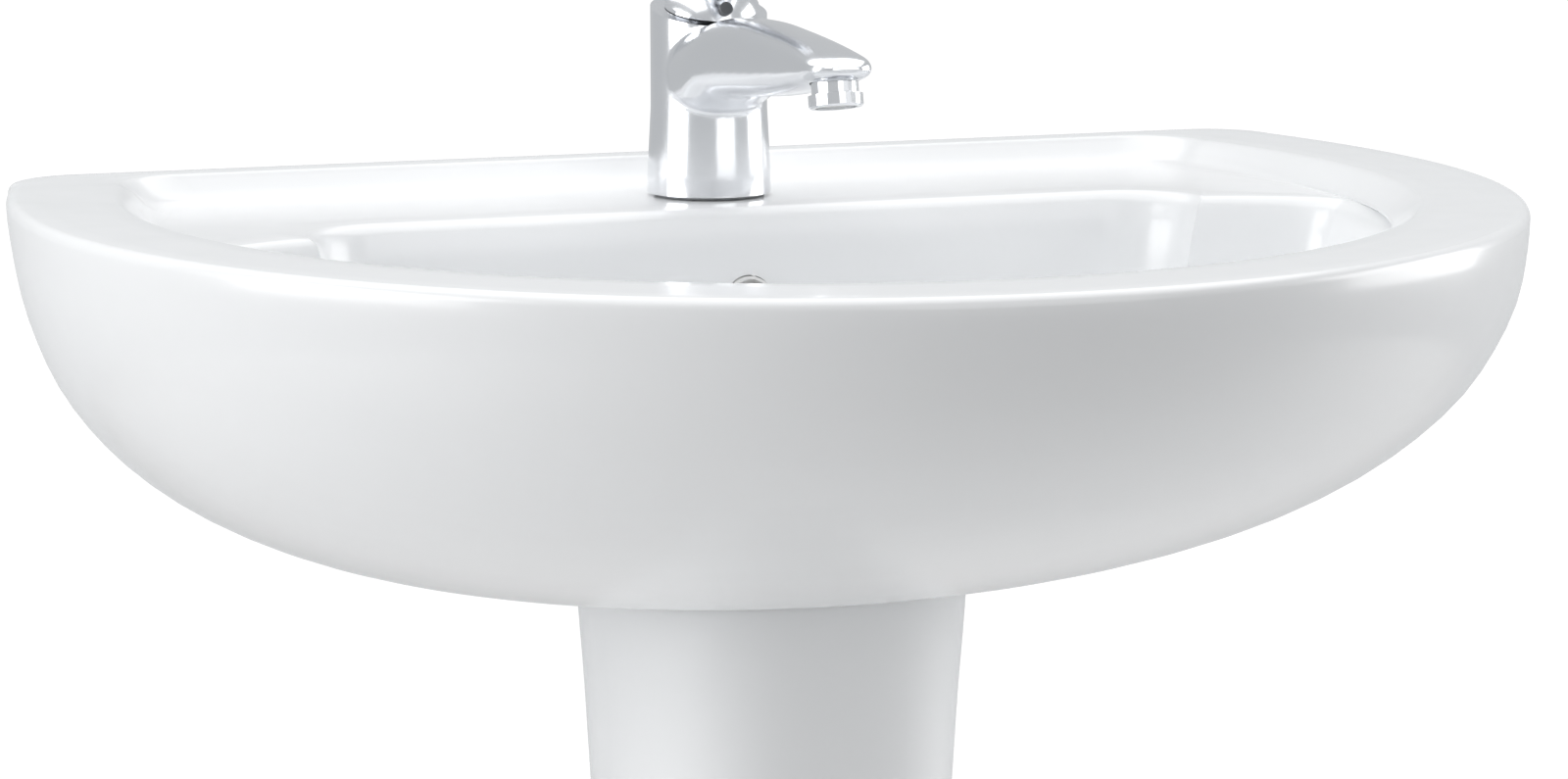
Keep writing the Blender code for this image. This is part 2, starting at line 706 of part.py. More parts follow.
def make_cartridge():
    pivot = lean_frame()
    floor = PIVOT_DEPTH - CARTRIDGE_DEPTH
    base = ring("cartridge_base", 0.0040, CARTRIDGE_R, floor + GAP, floor + 0.005, ACETAL)
    placed(base, pivot)
    low = floor + 0.005 + GAP
    fixed = ring("ceramic_disc_fixed", 0.0040, 0.0140, low, low + 0.003, CERAMIC, steps=24)
    placed(fixed, pivot)
    moving_low = low + 0.003 + GAP
    moving = rod("ceramic_disc_moving", 0.0105, moving_low, moving_low + 0.0035, CERAMIC)
    placed(moving, pivot)
    socket = box_mesh(
        "disc_pocket",
        (-0.0046, -0.0046, moving_low + 0.0013),
        (0.0046, 0.0046, moving_low + 0.01),
    )
    boolean(moving, placed(cutter("disc_pocket", socket), pivot))
    roof = moving_low + 0.0035 + 0.0005
    housing = turned_mesh(
        "cartridge_housing",
        [
            (0.0143, low),
            (CARTRIDGE_R, low),
            (CARTRIDGE_R, 0.0040),
            (0.0120, 0.0040),
            (0.0120, roof),
            (0.0143, roof),
        ],
        28,
    )
    placed(object_of("cartridge_housing", housing, ACETAL), pivot)
    carrier = rod("temperature_carrier", 0.0117, roof + 0.0003, 0.0065, PLASTIC, steps=24)
    placed(carrier, pivot)
    slot = box_mesh("carrier_slot", (-0.0044, -0.0085, -0.03), (0.0044, 0.0085, 0.03))
    boolean(carrier, placed(cutter("carrier_slot", slot), pivot))
    hole = rod_mesh("pin_hole", 0.0015, -0.0125, 0.0125, 12)
    sideways = Matrix.Rotation(math.radians(90), 4, "Y")
    boolean(carrier, placed(cutter("pin_hole", hole), pivot @ sideways))
    placed(rod("pivot_pin", 0.0012, -0.0113, 0.0113, STEEL, steps=12), pivot @ sideways)
    nut_ring = turned_mesh(
        "cartridge_nut",
        [
            (0.0123, 0.0043),
            (CARTRIDGE_R, 0.0043),
            (CARTRIDGE_R, 0.0085),
            (0.0123, 0.0085),
        ],
        28,
    )
    placed(object_of("cartridge_nut", nut_ring, BRASS), pivot)
    make_cover(pivot)
    make_lever(pivot, moving_low)


def make_cover(pivot):
    """A still dome round the lever's pivot, which the lever's skirt slides over."""
    inner = COVER_R - 0.0020
    foot = PIVOT_DEPTH + GAP
    section = []
    for k in range(7):
        a = math.asin(foot / COVER_R) + (math.radians(53) - math.asin(foot / COVER_R)) * k / 6
        section.append((COVER_R * math.cos(a), COVER_R * math.sin(a)))
    for k in range(6, -1, -1):
        a = math.asin(foot / inner) + (math.radians(53) - math.asin(foot / inner)) * k / 6
        section.append((inner * math.cos(a), inner * math.sin(a)))
    cover = object_of("cartridge_cover", turned_mesh("cartridge_cover", section, 32), CHROME)
    placed(cover, pivot)


def lever_section(along, low, high, half_width):
    return [
        Vector((x * half_width, -along, low + (high - low) * z))
        for x, z in (
            (-1.0, 0.5),
            (-0.8, 0.12),
            (0.0, 0.0),
            (0.8, 0.12),
            (1.0, 0.5),
            (0.75, 0.9),
            (0.0, 1.0),
            (-0.75, 0.9),
        )
    ]


def make_lever(pivot, disc_low):
    inner = COVER_R + LEVER_CLEARANCE
    section = [(0.0, LEVER_SHELL_R)]
    for k in range(1, 9):
        a = math.radians(90 - 78 * k / 8)
        section.append((LEVER_SHELL_R * math.cos(a), LEVER_SHELL_R * math.sin(a)))
    for k in range(8, 0, -1):
        a = math.radians(90 - 78 * k / 8)
        section.append((inner * math.cos(a), inner * math.sin(a)))
    section.append((0.0, inner))
    shell = object_of("lever", turned_mesh("lever", section, 32), CHROME)
    placed(shell, pivot)
    arm = loft(
        "lever_arm",
        [
            lever_section(0.008, 0.0235, 0.0290, 0.0120),
            lever_section(0.026, 0.0240, 0.0330, 0.0110),
            lever_section(0.060, 0.0350, 0.0430, 0.0090),
            lever_section(0.085, 0.0440, 0.0500, 0.0085),
            lever_section(LEVER_LENGTH, 0.0480, 0.0525, 0.0060),
        ],
    )
    boolean(shell, placed(cutter("lever_arm", arm), pivot), "UNION")
    slope = Matrix.Rotation(SKIRT_SLOPE, 4, "X")
    skirt = box_mesh("skirt_trim", (-0.05, -0.06, -0.06), (0.05, 0.06, 0.0))
    lift = Matrix.Translation((0, 0, SKIRT_LIFT))
    boolean(shell, placed(cutter("skirt_trim", skirt), pivot @ lift @ slope))
    bore = rod_mesh("stem_bore", STEM_R + GAP, 0.0, 0.0252, 16)
    boolean(shell, placed(cutter("stem_bore", bore), pivot))
    tail = disc_low + 0.0018
    stem = turned_mesh(
        "cartridge_stem",
        [
            (0.0, tail),
            (0.0026, tail),
            (0.0036, tail + 0.0022),
            (0.0026, tail + 0.0044),
            (0.0030, -0.0040),
            (STEM_R, -0.0020),
            (STEM_R, 0.0249),
            (0.0, 0.0249),
        ],
        16,
    )
    post = object_of("cartridge_stem", stem, ACETAL)
    placed(post, pivot)
    sideways = Matrix.Rotation(math.radians(90), 4, "Y")
    hole = rod_mesh("stem_pin_hole", 0.0015, -0.01, 0.01, 12)
    boolean(post, placed(cutter("stem_pin_hole", hole), pivot @ sideways))
    plug = rod("lever_index_cap", 0.0030, 0.0, 0.0022, MARKER, steps=16)
    face = pivot @ Matrix.Rotation(math.radians(55), 4, "X")
    placed(plug, face @ Matrix.Translation((0, 0, LEVER_SHELL_R + GAP)))


# ---------------------------------------------------------------- waste
def make_waste():
    at = DRAIN + Vector((0, 0, SEAT_Z))
    ring("waste_top_seal", 0.0240, 0.0300, GAP, 0.0015, RUBBER, at)
    tube_in = WASTE_TUBE_R - WASTE_TUBE_WALL
    flange = 0.0015 + GAP
    section = [
        (tube_in, -WASTE_LENGTH),
        (WASTE_TUBE_R, -WASTE_LENGTH),
        (WASTE_TUBE_R, flange),
        (WASTE_FLANGE_R, flange),
        (WASTE_FLANGE_R, flange + 0.0012),
        (WASTE_FLANGE_R - 0.0015, flange + 0.0022),
        (0.0260, flange + 0.0020),
        (tube_in, flange - 0.0020),
    ]
    body = object_of("waste_body", turned_mesh("waste_body", section, 36), CHROME)
    body.location = at
    half = tube_in + 0.001
    for name, low, high in (
        ("spider_x", (-half, -0.0015, -0.0300), (half, 0.0015, -0.0260)),
        ("spider_y", (-0.0015, -half, -0.0300), (0.0015, half, -0.0260)),
    ):
        boolean(body, cutter(name, box_mesh(name, low, high), at), "UNION")
    boss = rod_mesh("spider_boss", 0.0070, -0.0310, -0.0250, 16)
    boolean(body, cutter("spider_boss", boss, at), "UNION")
    guide = rod_mesh("spider_hole", 0.0042, -0.04, -0.01, 12)
    boolean(body, cutter("spider_hole", guide, at))
    slot = box_mesh("spill_slots", (-0.006, -0.03, -0.022), (0.006, 0.03, -0.012))
    boolean(body, cutter("spill_slots", slot, at))
    under = -CHINA_WALL - 0.0012
    ring("waste_under_seal", WASTE_TUBE_R + GAP, 0.0290, under - 0.004, under, RUBBER, at)
    low = under - 0.004 - GAP - 0.010
    nut("waste_back_nut", 0.052, WASTE_TUBE_R + GAP, low, low + 0.010, BRASS, at)
    make_plug(at, flange)


def make_plug(at, flange):
    """The plug at rest is up and open. It goes down by PLUG_LIFT."""
    seat = flange + 0.0022 + PLUG_LIFT + 0.0004
    cap = [
        (0.0, seat),
        (PLUG_R - 0.0015, seat),
        (PLUG_R, seat + 0.0010),
        (PLUG_R - 0.0010, seat + 0.0024),
        (0.0200, seat + 0.0046),
        (0.0, seat + 0.0056),
    ]
    made = object_of("plug_cap", turned_mesh("plug_cap", cap, 36), CHROME)
    made.location = at
    washer = seat - 0.0015 - GAP
    ring("plug_seal", 0.0060, 0.0200, washer, seat - GAP, RUBBER, at)
    rod("plug_stem", PLUG_STEM_R, -0.0370, seat - GAP, BRASS, at, 14)
    low = -0.0250 + GAP
    ring("plug_guide", PLUG_STEM_R + GAP, 0.0062, low, low + 0.0060, ACETAL, at, 18)
    low = low + 0.0060 + GAP + 0.0008
    high = washer - 0.0010
    turns, per_turn = 5, 12
    points = []
    for k in range(turns * per_turn + 1):
        a = 2 * math.pi * k / per_turn
        z = low + (high - low) * k / (turns * per_turn)
        points.append(at + Vector((0.0046 * math.cos(a), 0.0046 * math.sin(a), z)))
    tube("plug_spring", points, 0.0006, STEEL, 1)


# ---------------------------------------------------------------- bottle trap
def make_trap():
    tail = SEAT_Z - WASTE_LENGTH
    at = DRAIN + Vector((0, 0, tail))
    collar = [
        (WASTE_TUBE_R + GAP, 0.0180),
        (WASTE_TUBE_R + GAP, -0.0040),
        (TRAP_PIPE_R + GAP, -0.0040),
        (TRAP_PIPE_R + GAP, -0.0070),
        (0.0290, -0.0070),
        (0.0290, 0.0180),
    ]
    made = object_of("trap_inlet_nut", turned_mesh("trap_inlet_nut", collar, 28), CHROME)
    made.location = at
    low = -0.0040 + GAP
    ring("trap_inlet_washer", TRAP_PIPE_R + 0.002, 0.0210, low, -GAP, RUBBER, at, 24)
    bottle_top = -TRAP_BOTTLE_DROP
    foot = bottle_top - TRAP_BOTTLE_HEIGHT
    inlet = [
        (TRAP_PIPE_R - 0.0015, foot - 0.020),
        (TRAP_PIPE_R, foot - 0.020),
        (TRAP_PIPE_R, low + GAP),
        (TRAP_PIPE_R + 0.0014, low + GAP),
        (TRAP_PIPE_R + 0.0014, low + 0.0030),
        (TRAP_PIPE_R - 0.0015, low + 0.0030),
    ]
    made = object_of("trap_inlet_tube", turned_mesh("trap_inlet_tube", inlet, 24), CHROME)
    made.location = at
    ring("trap_neck_nut", TRAP_PIPE_R + GAP, 0.0235, bottle_top + GAP, bottle_top + 0.014,
         CHROME, at, 28, 0.0015)
    inside = TRAP_BOTTLE_R - TRAP_WALL
    body = [
        (TRAP_PIPE_R + GAP, bottle_top),
        (TRAP_PIPE_R + GAP, bottle_top - TRAP_WALL),
        (inside, bottle_top - 0.008),
        (inside, foot),
        (TRAP_BOTTLE_R, foot),
        (TRAP_BOTTLE_R, bottle_top - 0.006),
        (TRAP_BOTTLE_R - 0.006, bottle_top),
    ]
    bottle = object_of("trap_body", turned_mesh("trap_body", body, 32), CHROME)
    bottle.location = at
    outlet_z = bottle_top - 0.024
    boss = rod_mesh("outlet_boss", TRAP_PIPE_R + 0.0045, 0.0, 0.018, 24)
    back = at + Vector((0, TRAP_BOTTLE_R - 0.006, outlet_z))
    laid = (math.radians(-90), 0, 0)
    boolean(bottle, cutter("outlet_boss", boss, back, laid), "UNION")
    way = rod_mesh("outlet_way", TRAP_PIPE_R + 0.0006, 0.0020, 0.030, 24)
    boolean(bottle, cutter("outlet_way", way, back, laid))
    throat = rod_mesh("outlet_throat", TRAP_PIPE_R - 0.003, -0.012, 0.010, 20)
    boolean(bottle, cutter("outlet_throat", throat, back, laid))
    cup_top = foot - GAP
    cup_foot = foot - TRAP_CUP_HEIGHT
    cup = [
        (inside - 0.001, cup_top),
        (inside - 0.001, cup_foot + 0.012),
        (inside - 0.010, cup_foot + TRAP_WALL),
        (0.0, cup_foot + TRAP_WALL),
        (0.0, cup_foot),
        (inside - 0.008, cup_foot),
        (TRAP_BOTTLE_R - 0.001, cup_foot + 0.010),
        (TRAP_BOTTLE_R - 0.001, cup_top - 0.012),
        (TRAP_BOTTLE_R + 0.0015, cup_top - 0.011),
        (TRAP_BOTTLE_R + 0.0015, cup_top),
    ]
    made = object_of("trap_cup", turned_mesh("trap_cup", cup, 32), CHROME)
    made.location = at
    make_outlet(back, laid)


def make_outlet(back, laid):
    """The pipe from the bottle to the wall, with its nut, seal and wall plate."""
    boss_end = 0.018
    reach = WALL_Y - back.y
    pipe = ring("trap_outlet_pipe", TRAP_PIPE_R - 0.0015, TRAP_PIPE_R, 0.0115, reach - 0.0005,
                CHROME, back, 24)
    pipe.rotation_euler = laid
    seal = ring("trap_outlet_seal", TRAP_PIPE_R + GAP, 0.0200, boss_end + GAP,
                boss_end + 0.003, RUBBER, back, 24)
    seal.rotation_euler = laid
    collar = ring("trap_outlet_nut", TRAP_PIPE_R + GAP, 0.0240, boss_end + 0.0033,
                  boss_end + 0.016, CHROME, back, 28, 0.0015)
    collar.rotation_euler = laid
    plate = turned_mesh(
        "wall_rosette",
        [
            (TRAP_PIPE_R + GAP, reach - 0.0140),
            (TRAP_PIPE_R + 0.003, reach - 0.0140),
            (TRAP_PIPE_R + 0.006, reach - 0.0090),
            (ROSETTE_R, reach - 0.0030),
            (ROSETTE_R, reach - 0.0005),
            (ROSETTE_R - 0.0012, reach - 0.0005),
            (TRAP_PIPE_R + 0.005, reach - 0.0075),
            (TRAP_PIPE_R + GAP, reach - 0.0125),
        ],
        32,
    )
    made = object_of("wall_rosette", plate, CHROME)
    made.location = back
    made.rotation_euler = laid


make_basin()
make_pedestal()
make_fixings()
make_tap_body()
make_tap_fixings()
make_aerator()
make_cartridge()
make_waste()
make_trap()
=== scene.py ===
# %% [markdown]
# # A pedestal washbasin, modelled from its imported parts
#
# The exact parts of the washbasin come in first, as a fixed frame: the china, the tap's
# inner pieces, the waste and the trap. This lesson then makes the surfaces that show
# finer than the frame has them, gives every piece its finish, and lights the result.
# Sizes are in metres, +Z is up, and the user stands on the -Y side.

# %% The frame
import json
import math

import bmesh
import bpy
import numpy as np
from mathutils import Matrix, Vector

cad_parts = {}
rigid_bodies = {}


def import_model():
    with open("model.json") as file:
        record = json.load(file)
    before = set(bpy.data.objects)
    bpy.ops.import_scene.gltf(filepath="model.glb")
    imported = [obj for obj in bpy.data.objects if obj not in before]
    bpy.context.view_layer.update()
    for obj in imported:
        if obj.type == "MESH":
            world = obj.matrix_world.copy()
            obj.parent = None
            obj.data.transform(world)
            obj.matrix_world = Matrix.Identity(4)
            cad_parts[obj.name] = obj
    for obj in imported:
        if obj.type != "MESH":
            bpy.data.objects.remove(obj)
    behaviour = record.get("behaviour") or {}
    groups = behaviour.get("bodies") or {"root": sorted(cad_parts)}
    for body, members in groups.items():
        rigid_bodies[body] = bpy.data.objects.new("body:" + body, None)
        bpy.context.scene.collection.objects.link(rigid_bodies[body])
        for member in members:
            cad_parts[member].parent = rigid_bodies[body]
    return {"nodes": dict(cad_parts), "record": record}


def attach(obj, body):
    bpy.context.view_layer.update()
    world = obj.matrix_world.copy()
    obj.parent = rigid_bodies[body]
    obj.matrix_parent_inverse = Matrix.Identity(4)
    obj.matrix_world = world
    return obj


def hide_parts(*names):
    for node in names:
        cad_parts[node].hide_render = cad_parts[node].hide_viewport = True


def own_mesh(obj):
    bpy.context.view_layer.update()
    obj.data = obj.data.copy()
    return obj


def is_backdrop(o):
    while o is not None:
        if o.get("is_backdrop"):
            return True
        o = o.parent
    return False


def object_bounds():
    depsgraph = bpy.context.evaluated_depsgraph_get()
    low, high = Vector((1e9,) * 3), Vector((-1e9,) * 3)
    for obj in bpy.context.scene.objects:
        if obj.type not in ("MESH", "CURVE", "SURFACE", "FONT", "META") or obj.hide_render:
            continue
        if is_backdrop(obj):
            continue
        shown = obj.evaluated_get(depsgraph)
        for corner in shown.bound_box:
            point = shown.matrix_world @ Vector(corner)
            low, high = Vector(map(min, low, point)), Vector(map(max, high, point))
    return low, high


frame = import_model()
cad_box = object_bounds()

scene = bpy.context.scene
print("frame:", len(frame["nodes"]), "pieces, box", [list(corner) for corner in cad_box])

# %% [markdown]
# ## The camera
#
# The view is low and from the left front, with a long lens, and it crops the tap's
# lever and the pedestal's foot. A long lens keeps the basin's ends in proportion. The
# camera's place is measured from a point at the height of the rim, but it looks at one
# lower down, so that the rim sits high in the frame with no lens shift.

# %% Camera
RIM_HEIGHT = 0.850
AIM = Vector((0.0, -0.025, RIM_HEIGHT))
LOOK_AT = Vector((-0.0266, -0.0246, 0.7763))
CAMERA_TURN = math.radians(-21.14)
CAMERA_RISE = math.radians(7.17)
CAMERA_REACH = 1.809

camera = bpy.data.objects.new("camera", bpy.data.cameras.new("camera"))
scene.collection.objects.link(camera)
back = Vector(
    (
        math.sin(CAMERA_TURN) * math.cos(CAMERA_RISE),
        -math.cos(CAMERA_TURN) * math.cos(CAMERA_RISE),
        math.sin(CAMERA_RISE),
    )
)
camera.location = AIM + back * CAMERA_REACH
away = camera.location - LOOK_AT
camera.rotation_euler = away.to_track_quat("Z", "Y").to_euler()
camera.data.sensor_width = 36
camera.data.lens = 99.4
scene.camera = camera
print("camera at", [round(v, 3) for v in camera.location])

# %% [markdown]
# ## Shader sums written as Python
#
# A finish is mostly sums on noise. `Wire` wraps one output socket, so that `1 - mask`
# or `noise * 0.2 + 0.1` adds its Math nodes by itself. `Finish` holds one material and
# adds any other node from its type, its settings and the values of its sockets.


# %% Wires and finishes
class Wire:
    def __init__(self, tree, socket):
        self.tree, self.socket = tree, socket

    def sum(self, operation, first, second):
        node = self.tree.nodes.new("ShaderNodeMath")
        node.operation = operation
        for slot, value in zip(node.inputs, (first, second)):
            if isinstance(value, Wire):
                self.tree.links.new(value.socket, slot)
            else:
                slot.default_value = value
        return Wire(self.tree, node.outputs[0])

    def __add__(self, other):
        return self.sum("ADD", self, other)

    def __radd__(self, other):
        return self.sum("ADD", other, self)

    def __sub__(self, other):
        return self.sum("SUBTRACT", self, other)

    def __rsub__(self, other):
        return self.sum("SUBTRACT", other, self)

    def __mul__(self, other):
        return self.sum("MULTIPLY", self, other)

    def __rmul__(self, other):
        return self.sum("MULTIPLY", other, self)


class Finish:
    def __init__(self, name, colour, roughness, metallic=0.0):
        self.material = bpy.data.materials.new(name)
        self.material.use_nodes = True
        self.tree = self.material.node_tree
        self.shader = self.tree.nodes["Principled BSDF"]
        self.shader.inputs["Base Color"].default_value = (*colour, 1)
        self.shader.inputs["Roughness"].default_value = roughness
        self.shader.inputs["Metallic"].default_value = metallic
        self.colour = colour

    def node(self, kind, settings=None, output=0, **values):
        made = self.tree.nodes.new(kind)
        for key, value in (settings or {}).items():
            setattr(made, key, value)
        for key, value in values.items():
            slot = made.inputs[key.replace("_", " ")]
            if isinstance(value, Wire):
                self.tree.links.new(value.socket, slot)
            else:
                slot.default_value = value
        return Wire(self.tree, made.outputs[output])

    def place(self):
        return self.node("ShaderNodeTexCoord", output="Object")

    def noise(self, scale, detail=2.0, stretch=None):
        where = self.place()
        if stretch:
            where = self.node("ShaderNodeMapping", Vector=where, Scale=stretch)
        return self.node(
            "ShaderNodeTexNoise", output="Fac", Vector=where, Scale=scale, Detail=detail
        )

    def feed(self, name, value):
        self.tree.links.new(value.socket, self.shader.inputs[name])

    def tint(self, mask, other):
        """The finish's colour, turned towards another by a mask."""
        mix = self.tree.nodes.new("ShaderNodeMix")
        mix.data_type = "RGBA"
        self.tree.links.new(mask.socket, mix.inputs["Factor"])
        mix.inputs["A"].default_value = (*self.colour, 1)
        mix.inputs["B"].default_value = (*other, 1)
        self.tree.links.new(mix.outputs["Result"], self.shader.inputs["Base Color"])

    def bump(self, height, strength, distance):
        self.feed(
            "Normal",
            self.node(
                "ShaderNodeBump", Strength=strength, Distance=distance, Height=height
            ),
        )


# %% [markdown]
# ## The glaze
#
# Sanitaryware is a white body under a thick, clear glaze. The glaze is poured and fired,
# so it never lies quite flat: reflections wander a little over a hand's width. A diffuse
# white with a glossy coat gives both layers, and two very low bumps give the wander and
# the finer ripple. The glaze pools a little greyer here and there.

# %% Glaze
glaze = Finish("white_glaze", (0.85, 0.86, 0.87), 0.25)
pooling = glaze.noise(7.0, 3.0)
glaze.tint(pooling * 0.5, (0.82, 0.835, 0.85))
glaze.bump(glaze.noise(16.0, 1.0) * 0.8 + glaze.noise(220.0, 1.0) * 0.012, 0.12, 0.0012)
glaze.feed("Roughness", glaze.noise(30.0, 2.0) * 0.06 + 0.22)
glaze.shader.inputs["Specular IOR Level"].default_value = 0.5
glaze.shader.inputs["Coat Weight"].default_value = 0.35
glaze.shader.inputs["Coat Roughness"].default_value = 0.12
glaze.shader.inputs["Coat IOR"].default_value = 1.5
print("glaze nodes:", len(glaze.tree.nodes))

# %% [markdown]
# ## Metals
#
# Bathroom chrome is a mirror with the faintest polish haze, so its roughness changes by
# a few hundredths over a few millimetres. The hidden fittings are duller: turned brass
# and zinc-plated steel show tool marks round their axis, which stretched noise gives.

# %% Chrome, brass and steel
chrome = Finish("chrome", (0.80, 0.81, 0.83), 0.05, 1.0)
haze = chrome.noise(90.0, 3.0)
chrome.feed("Roughness", haze * 0.06 + 0.14)
chrome.tint(chrome.noise(25.0, 2.0) * 0.5, (0.76, 0.775, 0.80))
chrome.bump(chrome.noise(60.0, 1.0), 0.03, 0.0004)


def turned_metal(name, colour, shade, roughness):
    """A machined metal with fine marks that run round an upright axis."""
    made = Finish(name, colour, roughness, 1.0)
    marks = made.noise(40.0, 4.0, (1.0, 1.0, 30.0))
    made.tint(marks, shade)
    made.feed("Roughness", marks * 0.25 + (roughness - 0.1))
    made.bump(marks, 0.15, 0.0002)
    return made


brass = turned_metal("brass", (0.72, 0.56, 0.28), (0.55, 0.40, 0.18), 0.30)
steel = turned_metal("zinc_steel", (0.62, 0.63, 0.65), (0.48, 0.49, 0.50), 0.35)

# %% [markdown]
# ## Rubber, plastics and the ceramic discs
#
# Moulded parts have a fine, even skin. Rubber has it coarser, with a pale bloom, and is
# black, but for the grey gasket under the tap. The tap's ceramic discs are lapped flat,
# so they are smoother than any moulding.


# %% Mouldings
def moulded(name, colour, shade, roughness, grain, height):
    made = Finish(name, colour, roughness)
    skin = made.noise(grain, 3.0)
    made.tint(made.noise(30.0, 2.0), shade)
    made.feed("Roughness", skin * 0.15 + (roughness - 0.07))
    made.bump(skin, height, 0.0003)
    return made


rubber = moulded("black_rubber", (0.025, 0.025, 0.026), (0.05, 0.05, 0.05), 0.65, 900, 0.4)
gasket = moulded("grey_gasket", (0.30, 0.31, 0.32), (0.36, 0.37, 0.38), 0.6, 900, 0.3)
plastic = moulded("white_plastic", (0.82, 0.82, 0.81), (0.76, 0.76, 0.75), 0.38, 700, 0.15)
acetal = moulded("acetal", (0.50, 0.52, 0.55), (0.44, 0.46, 0.49), 0.42, 700, 0.15)
discs = moulded("disc_ceramic", (0.86, 0.85, 0.81), (0.80, 0.79, 0.75), 0.22, 400, 0.05)
marker = moulded("index_marker", (0.13, 0.135, 0.145), (0.10, 0.105, 0.11), 0.30, 500, 0.08)


def clad(made, finish):
    """Gives a piece this finish and no other."""
    made.data.materials.clear()
    made.data.materials.append(finish.material)


SLOTS = {
    "china": glaze,
    "chrome": chrome,
    "brass": brass,
    "steel": steel,
    "rubber": rubber,
    "plastic": plastic,
    "acetal": acetal,
    "disc": discs,
    "marker": marker,
}
slot_of = {row["node"]: row["material_slot"] for row in frame["record"]["subparts"]}
for name, node in frame["nodes"].items():
    clad(node, SLOTS[slot_of[name]])
clad(frame["nodes"]["tap_base_seal"], gasket)
print("finishes:", len(SLOTS) + 1)

# %% [markdown]
# ## Making meshes
#
# A loft joins rings of equally many points. To get smooth skins from a few measured
# rings, each column of points is drawn as a monotone cubic curve: it passes through
# every measured ring, and it can't swell past a flat stretch such as the tap deck.


# %% Mesh helpers
def shade(made, angle):
    """Smooth shading, with edges that turn by more than the angle kept crisp."""
    made.data.shade_smooth()
    made.data.set_sharp_from_angle(angle=math.radians(angle))


def piece(name, bm, finish=None):
    """A new object at the origin from a finished bmesh."""
    bmesh.ops.recalc_face_normals(bm, faces=bm.faces)
    mesh = bpy.data.meshes.new(name)
    bm.to_mesh(mesh)
    bm.free()
    made = bpy.data.objects.new(name, mesh)
    scene.collection.objects.link(made)
    if finish:
        mesh.materials.append(finish.material)
    shade(made, 40)
    return made


def loft(name, rings, finish=None):
    """A closed skin through the rings, with a flat cap at each end."""
    bm = bmesh.new()
    rows = [[bm.verts.new(p) for p in ring] for ring in rings]
    for low, high in zip(rows, rows[1:]):
        for i, here in enumerate(low):
            j = (i + 1) % len(low)
            bm.faces.new((here, low[j], high[j], high[i]))
    bm.faces.new(rows[0])
    bm.faces.new(rows[-1])
    return piece(name, bm, finish)


def smooth_rings(rings, between):
    """More rings, on monotone cubics through the given ones."""
    points = np.array([[tuple(p) for p in ring] for ring in rings])
    steps = np.linalg.norm(np.diff(points, axis=0), axis=2).mean(axis=1)
    where = np.concatenate([[0], np.cumsum(np.maximum(steps, 1e-6))])
    gaps = np.diff(where)[:, None, None]
    slopes = np.diff(points, axis=0) / gaps
    knots = np.zeros_like(points)
    first, second = slopes[:-1], slopes[1:]
    same = first * second > 0
    knots[1:-1] = np.where(
        same, 2 * first * second / np.where(same, first + second, 1), 0
    )
    knots[0], knots[-1] = slopes[0], slopes[-1]
    made = []
    for k in range(len(points) - 1):
        for step in range(between):
            t = step / between
            a, b = points[k], points[k + 1]
            ma, mb = knots[k] * gaps[k], knots[k + 1] * gaps[k]
            made.append(
                (2 * t**3 - 3 * t**2 + 1) * a
                + (t**3 - 2 * t**2 + t) * ma
                + (3 * t**2 - 2 * t**3) * b
                + (t**3 - t**2) * mb
            )
    made.append(points[-1])
    return made


def apply_all(made):
    """Bakes an object's modifiers into its mesh."""
    bpy.context.view_layer.update()
    evaluated = made.evaluated_get(bpy.context.evaluated_depsgraph_get())
    mesh = bpy.data.meshes.new_from_object(evaluated)
    made.modifiers.clear()
    old, made.data = made.data, mesh
    bpy.data.meshes.remove(old)
    return made


def cut(made, tool, operation="DIFFERENCE"):
    """Cuts or joins a tool, which is then removed."""
    step = made.modifiers.new(tool.name, "BOOLEAN")
    step.operation, step.object, step.solver = operation, tool, "EXACT"
    apply_all(made)
    bpy.data.objects.remove(tool)
    return made


def bake_place(made, matrix):
    """Moves an object's mesh, and leaves the object at the origin."""
    made.data.transform(matrix)
    return made


def rod(name, radius, low, high, steps=48):
    bm = bmesh.new()
    bmesh.ops.create_cone(
        bm, cap_ends=True, segments=steps, radius1=radius, radius2=radius, depth=high - low
    )
    bmesh.ops.translate(bm, vec=(0, 0, (low + high) / 2), verts=bm.verts)
    return piece(name, bm)


def block(name, low, high):
    low, high = Vector(low), Vector(high)
    bm = bmesh.new()
    bmesh.ops.create_cube(bm, size=1)
    bmesh.ops.scale(bm, vec=high - low, verts=bm.verts)
    bmesh.ops.translate(bm, vec=(low + high) / 2, verts=bm.verts)
    return piece(name, bm)


def turned(name, profile, steps=96, finish=None):
    """A turned piece about Z from (radius, z) points round its section."""
    bm = bmesh.new()
    columns = []
    for k in range(steps):
        c, s = math.cos(2 * math.pi * k / steps), math.sin(2 * math.pi * k / steps)
        columns.append([bm.verts.new((r * c, r * s, z)) for r, z in profile])
    for k, column in enumerate(columns):
        beside = columns[(k + 1) % steps]
        for i in range(len(profile)):
            j = (i + 1) % len(profile)
            bm.faces.new((column[i], column[j], beside[j], beside[i]))
    bmesh.ops.remove_doubles(bm, verts=bm.verts, dist=1e-6)
    return piece(name, bm, finish)


# %% [markdown]
# ## The basin's outline
#
# Seen from above the basin is straight along the wall, swells over the first 155 mm, and
# is half of an ellipse in front. One function draws every outline of it, large or small,
# with its points always in the same order, so that any two can be lofted or mixed.

